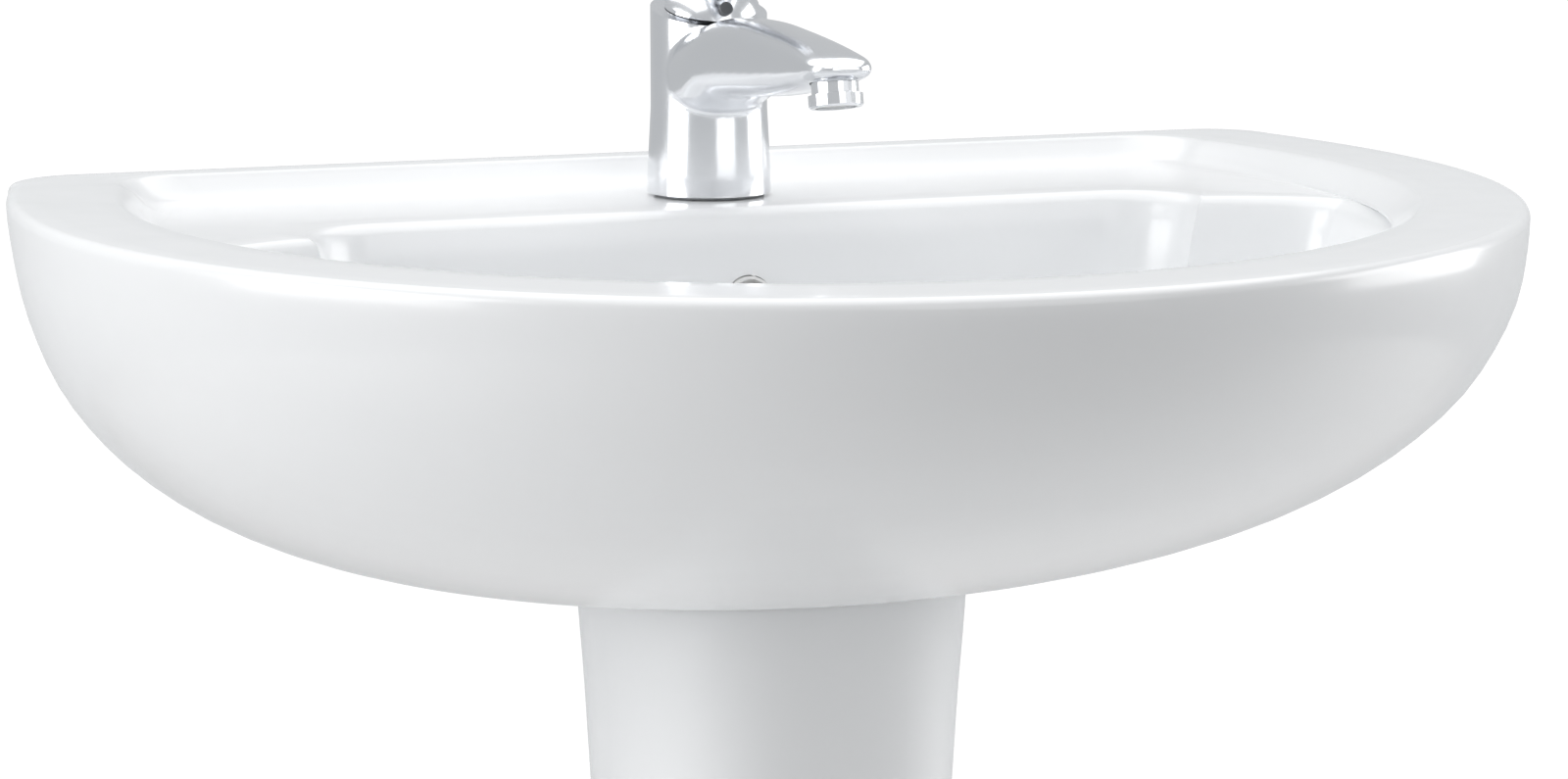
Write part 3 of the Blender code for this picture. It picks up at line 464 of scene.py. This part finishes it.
# %% The outline
WALL_Y = 0.225
BASIN_WIDTH, BASIN_DEPTH, BASIN_HEIGHT = 0.650, 0.500, 0.185
BACK_WIDTH, SIDE_RUN, BACK_CORNER = 0.618, 0.155, 0.030
BOWL_BACK_WIDTH, BOWL_RUN = 0.544, 0.200
RIM_ROUND, RIM_WIDTH, BACK_RIM = 0.0045, 0.050, 0.020
LEDGE_DROP, LEDGE_WIDTH, DECK_DEPTH = 0.012, 0.018, 0.132
BOWL_DEPTH, BOWL_FULLNESS = 0.138, 2.5
SKIN_REACH = math.radians(80)  # how far round its quarter turn the outside goes
ACROSS_POWER, ALONG_POWER = 2.33, 2.16  # fullness of the outside's sections
SIDE_DRAW, BACK_DRAW = 0.02, 0.12  # how much narrower it gets, besides
CHINA_WALL = 0.009
DRAIN = Vector((0, WALL_Y - 0.195, 0))
DRAIN_SEAT_R, DRAIN_SEAT_DROP, DRAIN_HOLE_R = 0.035, 0.003, 0.023
SEAT_Z = RIM_HEIGHT - BOWL_DEPTH - DRAIN_SEAT_DROP
OVERFLOW_R, OVERFLOW_DROP = 0.011, 0.053
TAP_HOLE_R, FIXING_HOLE_R = 0.0175, 0.007
FIXING_X, FIXING_DROP = 0.140, 0.070
TAP = Vector((0, WALL_Y - 0.080, RIM_HEIGHT - LEDGE_DROP))


def plan(half_width, depth, back_half, back=0.0, run=SIDE_RUN, corner=BACK_CORNER, fine=4):
    """An outline: along the wall, round the back corner, up the side, over the front."""
    corner = max(min(corner, back_half * 0.5, (run - back) * 0.5), 1e-5)
    right = []
    across, round_, side, front = 6 * fine, 3 * fine, 5 * fine, 14 * fine
    for k in range(across):
        right.append(((back_half - corner) * k / across, back))
    for k in range(round_ + 1):
        a = math.pi / 2 * k / round_
        x = back_half - corner + corner * math.sin(a)
        right.append((x, back + corner * (1 - math.cos(a))))
    for k in range(1, side):
        share = k / side
        x = half_width + (back_half - half_width) * (1 - share) ** 2
        right.append((x, back + corner + (run - back - corner) * share))
    for k in range(front + 1):
        a = math.pi / 2 * k / front
        x = half_width * math.cos(a) if k < front else 0.0
        right.append((x, run + (depth - run) * math.sin(a)))
    left = [(-x, d) for x, d in reversed(right[1:-1])]
    return [Vector((x, WALL_Y - d, 0)) for x, d in right + left]


def level(outline, z):
    return [Vector((p.x, p.y, z)) for p in outline]


def mixed(outline, other, share):
    return [a.lerp(b, share) for a, b in zip(outline, other)]


def inset_plan(
    inset, back_inset, run=SIDE_RUN, corner=BACK_CORNER, back_half=BACK_WIDTH / 2
):
    return plan(
        BASIN_WIDTH / 2 - inset,
        BASIN_DEPTH - inset,
        back_half - inset,
        back_inset,
        run,
        corner,
    )


print("points in an outline:", len(inset_plan(0, 0)))

# %% [markdown]
# ## The basin's skin
#
# The outside is a shallow bowl whose sections are superellipses: full at the rim and
# flat underneath. The inside steps down from the rounded rim to a ledge, which widens at
# the back into the tap deck, and then falls into the bowl. The outline of the bowl turns
# into a circle as it falls, so that it ends round the waste.


# %% Rings of the basin
def outside_rings(wall):
    """The outer skin from the rim down, moved in by wall."""
    rings = []
    for share in (1.0, 0.94, 0.85, 0.72, 0.56, 0.40, 0.25, 0.10, 0.0):
        t = math.sin(share * SKIN_REACH)
        across = (1 - t**ACROSS_POWER) ** (1 / ACROSS_POWER)
        along = (1 - t**ALONG_POWER) ** (1 / ALONG_POWER)
        top = RIM_HEIGHT - max(RIM_ROUND, wall)
        z = top - (top - RIM_HEIGHT + BASIN_HEIGHT) * t / math.sin(SKIN_REACH)
        outline = plan(
            BASIN_WIDTH / 2 * across * (1 - SIDE_DRAW * t * t) - wall,
            BASIN_DEPTH * along - wall,
            BACK_WIDTH / 2 * across * (1 - BACK_DRAW * t) - wall,
            wall,
            SIDE_RUN * along,
        )
        rings.append(level(outline, z + wall * t))
    return rings


def drain_circle(outline, radius, z):
    """A circle round the drain, with each point towards the outline's own."""
    made = []
    for p in outline:
        towards = Vector((p.x, p.y, 0)) - DRAIN
        made.append(DRAIN + towards.normalized() * radius + Vector((0, 0, z)))
    return made


def inside_rings(wall):
    """The rim, the ledge with the tap deck, and the bowl down to the waste."""
    ledge_inset = RIM_WIDTH + LEDGE_WIDTH
    rim = inset_plan(RIM_WIDTH - wall, BACK_RIM - wall)
    ledge = inset_plan(RIM_WIDTH + 0.008 - wall, BACK_RIM + 0.008 - wall)
    bowl_half = BOWL_BACK_WIDTH / 2
    bowl = inset_plan(ledge_inset - wall, DECK_DEPTH - wall, BOWL_RUN, 0.060, bowl_half)
    edge = inset_plan(
        ledge_inset - 0.005 - wall, DECK_DEPTH - 0.006 - wall, BOWL_RUN, 0.062, bowl_half
    )
    outer = inset_plan(RIM_ROUND, RIM_ROUND)
    top = RIM_HEIGHT - wall
    rings = []
    if not wall:
        rolled = RIM_ROUND * 0.3
        rings.append(level(inset_plan(rolled, rolled * 0.6), top - rolled))
        rings.append(level(outer, top))
        rings.append(level(mixed(outer, rim, 0.88), top - 0.0004))
    rings.append(level(rim, top - 0.0030))
    rings.append(level(ledge, top - LEDGE_DROP + 0.0012))
    rings.append(level(mixed(ledge, edge, 0.12), top - LEDGE_DROP))
    rings.append(level(edge, top - LEDGE_DROP))
    rings.append(level(bowl, top - LEDGE_DROP - 0.0050))
    seat = drain_circle(bowl, DRAIN_SEAT_R + wall + 0.004, 0)
    bowl_top = LEDGE_DROP + 0.0050
    for share in (0.94, 0.85, 0.70, 0.50, 0.30, 0.12):
        drop = (1 - share**BOWL_FULLNESS) ** (1 / BOWL_FULLNESS)
        z = top - bowl_top - (BOWL_DEPTH - bowl_top) * drop * (1 - 0.04 * share)
        rings.append(level(mixed(seat, bowl, share), z))
    if wall:
        rings.append(level(seat, top - BOWL_DEPTH - DRAIN_SEAT_DROP))
    else:
        rings.append(level(seat, top - BOWL_DEPTH))
        rings.append(
            drain_circle(bowl, DRAIN_SEAT_R, top - BOWL_DEPTH - DRAIN_SEAT_DROP)
        )
    return rings


skin_rings = smooth_rings(outside_rings(0.0) + inside_rings(0.0), 4)
basin = loft("basin_china", skin_rings, glaze)
print("basin skin:", len(basin.data.polygons), "faces")

# %% [markdown]
# ## The basin's hollow and its openings
#
# A basin this size is cast hollow: a thin outer wall, a thin bowl, and air between. The
# same rings, moved in by the wall, are taken out of the skin. Then come the holes: the
# pedestal's seat, the open back for the plumbing, and the tap, waste, overflow and wall
# fixing holes.

# %% Pedestal sections
PEDESTAL_TOP = RIM_HEIGHT - 0.1545
PEDESTAL_Y = WALL_Y - 0.159
PEDESTAL_WALL, PEDESTAL_OPENING, PEDESTAL_CLEARANCE = 0.010, 0.045, 0.0012
PEDESTAL_SHAPE = (
    (0.000, 0.0980, 0.1000),
    (0.030, 0.0965, 0.0990),
    (0.060, 0.0900, 0.0945),
    (0.150, 0.0790, 0.0850),
    (0.350, 0.0715, 0.0790),
    (0.600, 0.0715, 0.0790),
    (0.780, 0.0745, 0.0820),
    (0.900, 0.0785, 0.0865),
    (0.965, 0.0815, 0.0900),
    (1.000, 0.0825, 0.0910),
)


def rounded(half_width, half_height, points, side_power=0.8):
    """Points round a superellipse, which is a rectangle with soft corners."""
    made = []
    for k in range(points):
        a = 2 * math.pi * k / points
        c, s = math.cos(a), math.sin(a)
        across = half_width * math.copysign(abs(c) ** side_power, c)
        made.append((across, half_height * math.copysign(abs(s) ** 0.8, s)))
    return made


def pedestal_ring(half_width, half_depth, z):
    outline = rounded(half_width, half_depth, 120)
    return [Vector((x, PEDESTAL_Y + y, z)) for x, y in outline]


def pedestal_rings(grow, low=0.0, high=PEDESTAL_TOP):
    """The sections, grown by so much, with the ends stretched to low and high."""
    rings = [
        pedestal_ring(wide + grow, deep + grow, share * PEDESTAL_TOP)
        for share, wide, deep in PEDESTAL_SHAPE
    ]
    if low < 0:
        rings[0] = [Vector((p.x, p.y, low)) for p in rings[0]]
    if high > PEDESTAL_TOP:
        rings.append([Vector((p.x, p.y, high)) for p in rings[-1]])
    return rings


# %% Cutting the basin
cut(basin, loft("hollow", outside_rings(CHINA_WALL) + inside_rings(CHINA_WALL)))
socket = pedestal_rings(PEDESTAL_CLEARANCE, 0.0, PEDESTAL_TOP + PEDESTAL_CLEARANCE)
cut(basin, loft("socket", smooth_rings(socket, 2)))
side, behind = 0.075, WALL_Y + 0.02
cut(basin, block("back_low", (-side, PEDESTAL_Y, 0.595), (side, behind, 0.695)))
cut(basin, block("back_high", (-side, WALL_Y - 0.02, 0.645), (side, behind, 0.795)))
drain_hole = rod("drain_hole", DRAIN_HOLE_R, -0.02, 0.02, 96)
cut(basin, bake_place(drain_hole, Matrix.Translation(DRAIN + Vector((0, 0, SEAT_Z)))))
cut(basin, bake_place(rod("tap_hole", TAP_HOLE_R, -0.02, 0.02), Matrix.Translation(TAP)))
ALONG_Y = Matrix.Rotation(math.radians(90), 4, "X")
overflow_at = Vector((0, WALL_Y - DECK_DEPTH - 0.004, RIM_HEIGHT - OVERFLOW_DROP))
overflow_hole = rod("overflow_hole", OVERFLOW_R, -0.025, 0.020)
cut(basin, bake_place(overflow_hole, Matrix.Translation(overflow_at) @ ALONG_Y))
for x in (-FIXING_X, FIXING_X):
    fixing = Matrix.Translation((x, WALL_Y, RIM_HEIGHT - FIXING_DROP)) @ ALONG_Y
    cut(basin, bake_place(rod("fixing_hole", FIXING_HOLE_R, -0.03, 0.03), fixing))
shade(basin, 35)
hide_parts("basin")
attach(basin, "fixed")
print("basin:", len(basin.data.polygons), "faces")

# %% [markdown]
# ## The pedestal
#
# The pedestal is a hollow column, open at the back, that hides the trap and the hoses.
# Its section is a rounded square. It is slim in the middle, widens up to the basin, and
# spreads again at the foot. Its sections go through the same smoothing as the basin's.

# %% Pedestal
pedestal = loft("pedestal_china", smooth_rings(pedestal_rings(0.0), 8), glaze)
cut(pedestal, loft("core", smooth_rings(pedestal_rings(-PEDESTAL_WALL, -0.01, 0.71), 2)))
rear = PEDESTAL_Y + PEDESTAL_SHAPE[-1][2]
opening = rear - PEDESTAL_OPENING
cut(pedestal, block("open_back", (-0.2, opening, -0.01), (0.2, rear + 0.05, 0.72)))
shade(pedestal, 35)
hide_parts("pedestal")
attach(pedestal, "fixed")
print("pedestal:", len(pedestal.data.polygons), "faces")

# %% [markdown]
# ## The tap's body
#
# A mixer body is cast in one piece and polished, so its spout grows out of its column in
# a soft fillet. Joining a turned column and a lofted spout, rebuilding the skin on a fine
# grid and relaxing it makes that fillet by itself. The flat cuts come afterwards, so the
# base and the lever's seat stay crisp.

# %% Casting helper
TAP_TOP, TAP_LEAN, PIVOT_DEPTH = 0.084, math.radians(12), 0.009
SPOUT_REACH, SPOUT_END, JET_TILT = 0.159, 0.063, math.radians(-12)
CARTRIDGE_BORE_R, UNDER_BORE_R, JET_BORE_R = 0.0178, 0.0205, 0.0105
pivot = (
    Matrix.Translation(TAP + Vector((0, 0, TAP_TOP)))
    @ Matrix.Rotation(TAP_LEAN, 4, "X")
    @ Matrix.Translation((0, 0, -PIVOT_DEPTH))
)
jet_at = TAP + Vector((0, -SPOUT_REACH, SPOUT_END))
jet = Matrix.Translation(jet_at) @ Matrix.Rotation(JET_TILT, 4, "X")


def cast(made, voxel, relaxing):
    """Rebuilds a joined shape as one soft casting."""
    grid = made.modifiers.new("grid", "REMESH")
    grid.mode, grid.voxel_size, grid.use_smooth_shade = "VOXEL", voxel, True
    relax = made.modifiers.new("relax", "SMOOTH")
    relax.factor, relax.iterations = 0.5, relaxing
    return apply_all(made)


def bar_ring(reach, low, high, half_width, points, side_power):
    """One section of the spout or of the lever's arm, so far from the axis."""
    outline = rounded(half_width, (high - low) / 2, points, side_power)
    return [Vector((x, -reach, (low + high) / 2 + z)) for x, z in outline]


# %% Tap body
SPOUT_SHAPE = (
    (0.000, 0.0330, 0.0755, 0.0235),
    (0.028, 0.0405, 0.0800, 0.0235),
    (0.050, 0.0485, 0.0840, 0.0225),
    (0.075, 0.0515, 0.0845, 0.0205),
    (0.100, 0.0540, 0.0835, 0.0185),
    (0.130, 0.0585, 0.0815, 0.0165),
    (0.158, 0.0640, 0.0780, 0.0155),
    (0.168, 0.0665, 0.0760, 0.0130),
    (0.1735, 0.0700, 0.0735, 0.0070),
)
column_side = [
    (0.0, -0.004),
    (0.0282, -0.004),
    (0.0280, 0.010),
    (0.0264, 0.040),
    (0.0264, 0.098),
    (0.0, 0.098),
]
tap_body = turned("tap_casting", column_side, 128, chrome)
spout_rings = smooth_rings([bar_ring(*row, 64, 0.8) for row in SPOUT_SHAPE], 5)
cut(tap_body, loft("spout", spout_rings), "UNION")
cast(tap_body, 0.0008, 14)
cut(tap_body, block("base_trim", (-0.05, -0.05, -0.03), (0.05, 0.05, 0.0016)))
trim = block("seat_trim", (-0.04, -0.036, PIVOT_DEPTH), (0.04, 0.04, 0.05))
bake_place(tap_body, Matrix.Translation(TAP))
cut(tap_body, bake_place(trim, pivot))
cartridge_bore = rod("cartridge_bore", CARTRIDGE_BORE_R, -0.021, 0.02, 64)
cut(tap_body, bake_place(cartridge_bore, pivot))
under_bore = rod("under_bore", UNDER_BORE_R, -0.010, 0.028)
cut(tap_body, bake_place(under_bore, Matrix.Translation(TAP)))
cut(tap_body, bake_place(rod("jet_bore", JET_BORE_R, -0.020, 0.0085), jet))
clad(tap_body, chrome)
shade(tap_body, 38)
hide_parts("tap_body")
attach(tap_body, "fixed")
print("tap body:", len(tap_body.data.polygons), "faces")

# %% [markdown]
# ## The lever
#
# The lever is one casting too: a thin ball-shaped shell that slides over the cover, with
# a flat arm that rises towards the user. Shell and arm are joined and relaxed the same
# way. The shell's lower edge rises to the back, to leave room when the arm is lifted.

# %% Lever
COVER_R, SHELL_R, SHELL_GAP = 0.0220, 0.0260, 0.0006
LEVER_LENGTH, SKIRT_LIFT, SKIRT_SLOPE = 0.098, 0.0142, math.radians(9.6)


def arc(radius, start, end, steps):
    made = []
    for k in range(steps + 1):
        a = math.radians(start + (end - start) * k / steps)
        across = radius * math.cos(a) if a < math.pi / 2 else 0.0
        made.append((across, radius * math.sin(a)))
    return made


ARM_SHAPE = (
    (0.004, 0.0225, 0.0270, 0.0120),
    (0.026, 0.0240, 0.0330, 0.0112),
    (0.060, 0.0350, 0.0430, 0.0092),
    (0.085, 0.0440, 0.0500, 0.0086),
    (0.095, 0.0470, 0.0522, 0.0074),
    (LEVER_LENGTH, 0.0488, 0.0516, 0.0050),
)
lever = turned("lever_casting", arc(SHELL_R, 0, 90, 24) + [(0.0, 0.0)], 96, chrome)
arm_rings = smooth_rings([bar_ring(*row, 40, 0.7) for row in ARM_SHAPE], 5)
cut(lever, loft("arm", arm_rings), "UNION")
cast(lever, 0.0007, 8)
BALL_R = COVER_R + SHELL_GAP
ball = turned("ball", arc(BALL_R, 0, 90, 24) + [(0.0, 0.0)], 96)
ball_low = [(0, -0.01), (BALL_R, -0.01), (BALL_R, 0.0005), (0, 0.0005)]
cut(ball, turned("ball_low", ball_low, 96), "UNION")
cut(lever, ball)
slope = Matrix.Translation((0, 0, SKIRT_LIFT)) @ Matrix.Rotation(SKIRT_SLOPE, 4, "X")
cut(lever, bake_place(block("skirt", (-0.05, -0.06, -0.06), (0.05, 0.06, 0.0)), slope))
bake_place(lever, pivot)
clad(lever, chrome)
shade(lever, 38)
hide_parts("lever")
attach(lever, "handle")
print("lever:", len(lever.data.polygons), "faces")

# %% [markdown]
# ## The aerator's strainer
#
# The jet leaves through a moulded honeycomb. It repeats, so Geometry Nodes make it: a
# grid of points, cut to a circle, with a small six-sided tube on each. The grid's spacing,
# its count of points and the circle's radius are the tree's inputs.


# %% Geometry Nodes helper
class Tree:
    """Builds a Geometry Nodes tree, with named inputs."""

    def __init__(self, name):
        self.group = bpy.data.node_groups.new(name, "GeometryNodeTree")
        for way in ("INPUT", "OUTPUT"):
            self.group.interface.new_socket(
                "Geometry", in_out=way, socket_type="NodeSocketGeometry"
            )
        self.start = self.group.nodes.new("NodeGroupInput")
        self.end = self.group.nodes.new("NodeGroupOutput")
        self.names = {}

    def number(self, name, value, kind="NodeSocketFloat"):
        made = self.group.interface.new_socket(name, in_out="INPUT", socket_type=kind)
        made.default_value = value
        self.names[name] = made.identifier
        return self.start.outputs[name]

    def add(self, kind, settings=None, output=0, **links):
        made = self.group.nodes.new(kind)
        for key, value in (settings or {}).items():
            setattr(made, key, value)
        for key, value in links.items():
            slot = made.inputs[key.replace("_", " ")]
            if isinstance(value, bpy.types.NodeSocket):
                self.group.links.new(value, slot)
            else:
                slot.default_value = value
        return made.outputs[output]

    def finish(self, geometry, finish):
        real = self.add("GeometryNodeRealizeInstances", Geometry=geometry)
        done = self.add("GeometryNodeSetMaterial", Geometry=real, Material=finish.material)
        self.group.links.new(done, self.end.inputs[0])

    def make(self, name, **values):
        bm = bmesh.new()
        made = piece(name, bm)
        step = made.modifiers.new("tree", "NODES")
        step.node_group = self.group
        for key, value in values.items():
            step[self.names[key.replace("_", " ")]] = value
        return apply_all(made)


# %% Strainer
CELL, CELLS_ACROSS, COMB_R, COMB_DEPTH = 0.0016, 11, 0.0078, 0.0074
TUBE_R, TUBE_WALL = 0.00068, 0.00012
comb = Tree("strainer_comb")
cell = comb.number("Cell", CELL)
count = comb.number("Count", CELLS_ACROSS, "NodeSocketInt")
reach = comb.number("Reach", COMB_R)
size = comb.add("ShaderNodeMath", {"operation": "MULTIPLY"})
comb.group.links.new(cell, size.node.inputs[0])
comb.group.links.new(count, size.node.inputs[1])
grid = comb.add(
    "GeometryNodeMeshGrid", Size_X=size, Size_Y=size, Vertices_X=count, Vertices_Y=count
)
spot = comb.add("GeometryNodeInputPosition")
distance = comb.add(
    "ShaderNodeVectorMath", {"operation": "LENGTH"}, output="Value", Vector=spot
)
outside = comb.add("FunctionNodeCompare", {"operation": "GREATER_THAN"})
comb.group.links.new(distance, outside.node.inputs[0])
comb.group.links.new(reach, outside.node.inputs[1])
kept = comb.add(
    "GeometryNodeDeleteGeometry", {"domain": "POINT"}, Geometry=grid, Selection=outside
)
ring_line = comb.add("GeometryNodeCurvePrimitiveCircle", Resolution=6, Radius=TUBE_R)
wall_line = comb.add("GeometryNodeCurvePrimitiveCircle", Resolution=4, Radius=TUBE_WALL)
wall_ring = comb.add("GeometryNodeCurveToMesh", Curve=ring_line)
comb.group.links.new(wall_line, wall_ring.node.inputs[1])
cells = comb.add("GeometryNodeInstanceOnPoints", Points=kept, Instance=wall_ring)
comb.finish(cells, plastic)
strainer = comb.make("aerator_strainer", Cell=CELL, Count=CELLS_ACROSS, Reach=COMB_R)
bake_place(strainer, jet @ Matrix.Translation((0, 0, -COMB_DEPTH)))
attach(strainer, "fixed")
print("strainer:", len(strainer.data.polygons), "faces")

# %% [markdown]
# ## Threads
#
# The wall studs and the tap's inlet tails are threaded. A real thread is a helix, but at
# this size close rings look the same and are simpler: one small ring, repeated along a
# line by Geometry Nodes. Pitch, length and radius are inputs, so one tree serves all.

# %% Threads
THREAD_R, RIDGE_R = 0.0049, 0.00028
STUD_LENGTH, STUD_PITCH, STUD_INSET = 0.044, 0.0015, 0.003
TAIL_LENGTH, TAIL_PITCH, TAIL_X, TAIL_DROP = 0.018, 0.0010, 0.0085, 0.0690
thread = Tree("thread_rings")
length = thread.number("Length", 0.03)
pitch = thread.number("Pitch", 0.0015)
radius = thread.number("Radius", 0.005)
turns = thread.add("ShaderNodeMath", {"operation": "DIVIDE"})
thread.group.links.new(length, turns.node.inputs[0])
thread.group.links.new(pitch, turns.node.inputs[1])
whole = thread.add("FunctionNodeFloatToInt", Float=turns)
step = thread.add("ShaderNodeCombineXYZ", Z=pitch)
line = thread.add("GeometryNodeMeshLine", Count=whole, Offset=step)
crest = thread.add("GeometryNodeCurvePrimitiveCircle", Resolution=28, Radius=radius)
ridge = thread.add("GeometryNodeCurvePrimitiveCircle", Resolution=6, Radius=RIDGE_R)
ring = thread.add("GeometryNodeCurveToMesh", Curve=crest)
thread.group.links.new(ridge, ring.node.inputs[1])
thread.finish(thread.add("GeometryNodeInstanceOnPoints", Points=line, Instance=ring), steel)
for side, x in (("left", -FIXING_X), ("right", FIXING_X)):
    made = thread.make(
        "stud_thread_" + side, Length=STUD_LENGTH, Pitch=STUD_PITCH, Radius=THREAD_R
    )
    stud = Matrix.Translation((x, WALL_Y + STUD_INSET, RIM_HEIGHT - FIXING_DROP))
    bake_place(made, stud @ ALONG_Y.inverted())
    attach(made, "fixed")
for side, x in (("hot", -TAIL_X), ("cold", TAIL_X)):
    made = thread.make(
        "tail_thread_" + side, Length=TAIL_LENGTH, Pitch=TAIL_PITCH, Radius=THREAD_R
    )
    bake_place(made, Matrix.Translation(TAP + Vector((x, 0, -TAIL_DROP))))
    clad(made, brass)
    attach(made, "fixed")
print("threads made")

# %% [markdown]
# ## The plug's spring
#
# The spring under the plug shortens when the plug is pressed. Its coils are right as the
# frame has them, so a merged copy stands for them.

# %% Spring
bm = bmesh.new()
bm.from_mesh(frame["nodes"]["plug_spring"].data)
bmesh.ops.remove_doubles(bm, verts=bm.verts, dist=1e-6)
spring = piece("plug_spring_coil", bm, steel)
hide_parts("plug_spring")
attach(spring, "fixed")
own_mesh(spring)

# %% [markdown]
# ## Light
#
# The studio is white all round, and the china is only a little darker than it. A large
# light from each side leaves the front of the basin the darkest, the left one being the
# stronger. One overhead fills the bowl and the rim, and a weak one in front keeps the
# pedestal clear. The floor is pale and plain.


# %% Studio
def light(name, place, aim, size, power):
    lamp = bpy.data.lights.new(name, "AREA")
    lamp.shape, lamp.size, lamp.energy = "SQUARE", size, power
    made = bpy.data.objects.new(name, lamp)
    scene.collection.objects.link(made)
    made.location = place
    away = Vector(place) - Vector(aim)
    made.rotation_euler = away.to_track_quat("Z", "Y").to_euler()
    return made


light("left", (-2.4, -0.2, 1.4), (0, 0, 0.75), 1.8, 44)
light("top", (0.0, 0.1, 2.4), (0, 0, 0.8), 3.0, 44)
light("right", (2.4, -0.2, 1.2), (0, 0, 0.75), 1.6, 30)
light("front", (0.6, -2.4, 1.6), (0, 0, 0.75), 1.8, 12)

world = bpy.data.worlds.new("studio")
scene.world = world
world.use_nodes = True
tree = world.node_tree
sky = tree.nodes["Background"]
sky.inputs["Color"].default_value = (0.96, 0.98, 1.0, 1)
white = tree.nodes.new("ShaderNodeBackground")
white.inputs["Color"].default_value = (1, 1, 1, 1)
white.inputs["Strength"].default_value = 1.06
choice = tree.nodes.new("ShaderNodeMixShader")
seen = tree.nodes.new("ShaderNodeLightPath")
base = Wire(tree, seen.outputs["Is Glossy Ray"]) * 0.55 + 0.05
tree.links.new(base.socket, sky.inputs["Strength"])
tree.links.new(seen.outputs["Is Camera Ray"], choice.inputs[0])
tree.links.new(sky.outputs[0], choice.inputs[1])
tree.links.new(white.outputs[0], choice.inputs[2])
tree.links.new(choice.outputs[0], tree.nodes["World Output"].inputs["Surface"])
scene.view_settings.view_transform = "Standard"
scene.view_settings.look = "None"

floor_paint = Finish("pale_floor", (0.88, 0.88, 0.88), 0.6)
floor_paint.bump(floor_paint.noise(60.0, 2.0), 0.05, 0.001)
floor_side = [(0.0, -0.003), (2.1, -0.003), (2.1, -0.0005), (0.0, -0.0005)]
floor = turned("floor", floor_side, 128, floor_paint)
floor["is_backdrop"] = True

# %% Sizes
new_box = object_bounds()
for axis, a, b in zip("XYZ", zip(*cad_box), zip(*new_box)):
    print(axis, "frame", [round(v, 4) for v in a], "visual", [round(v, 4) for v in b])
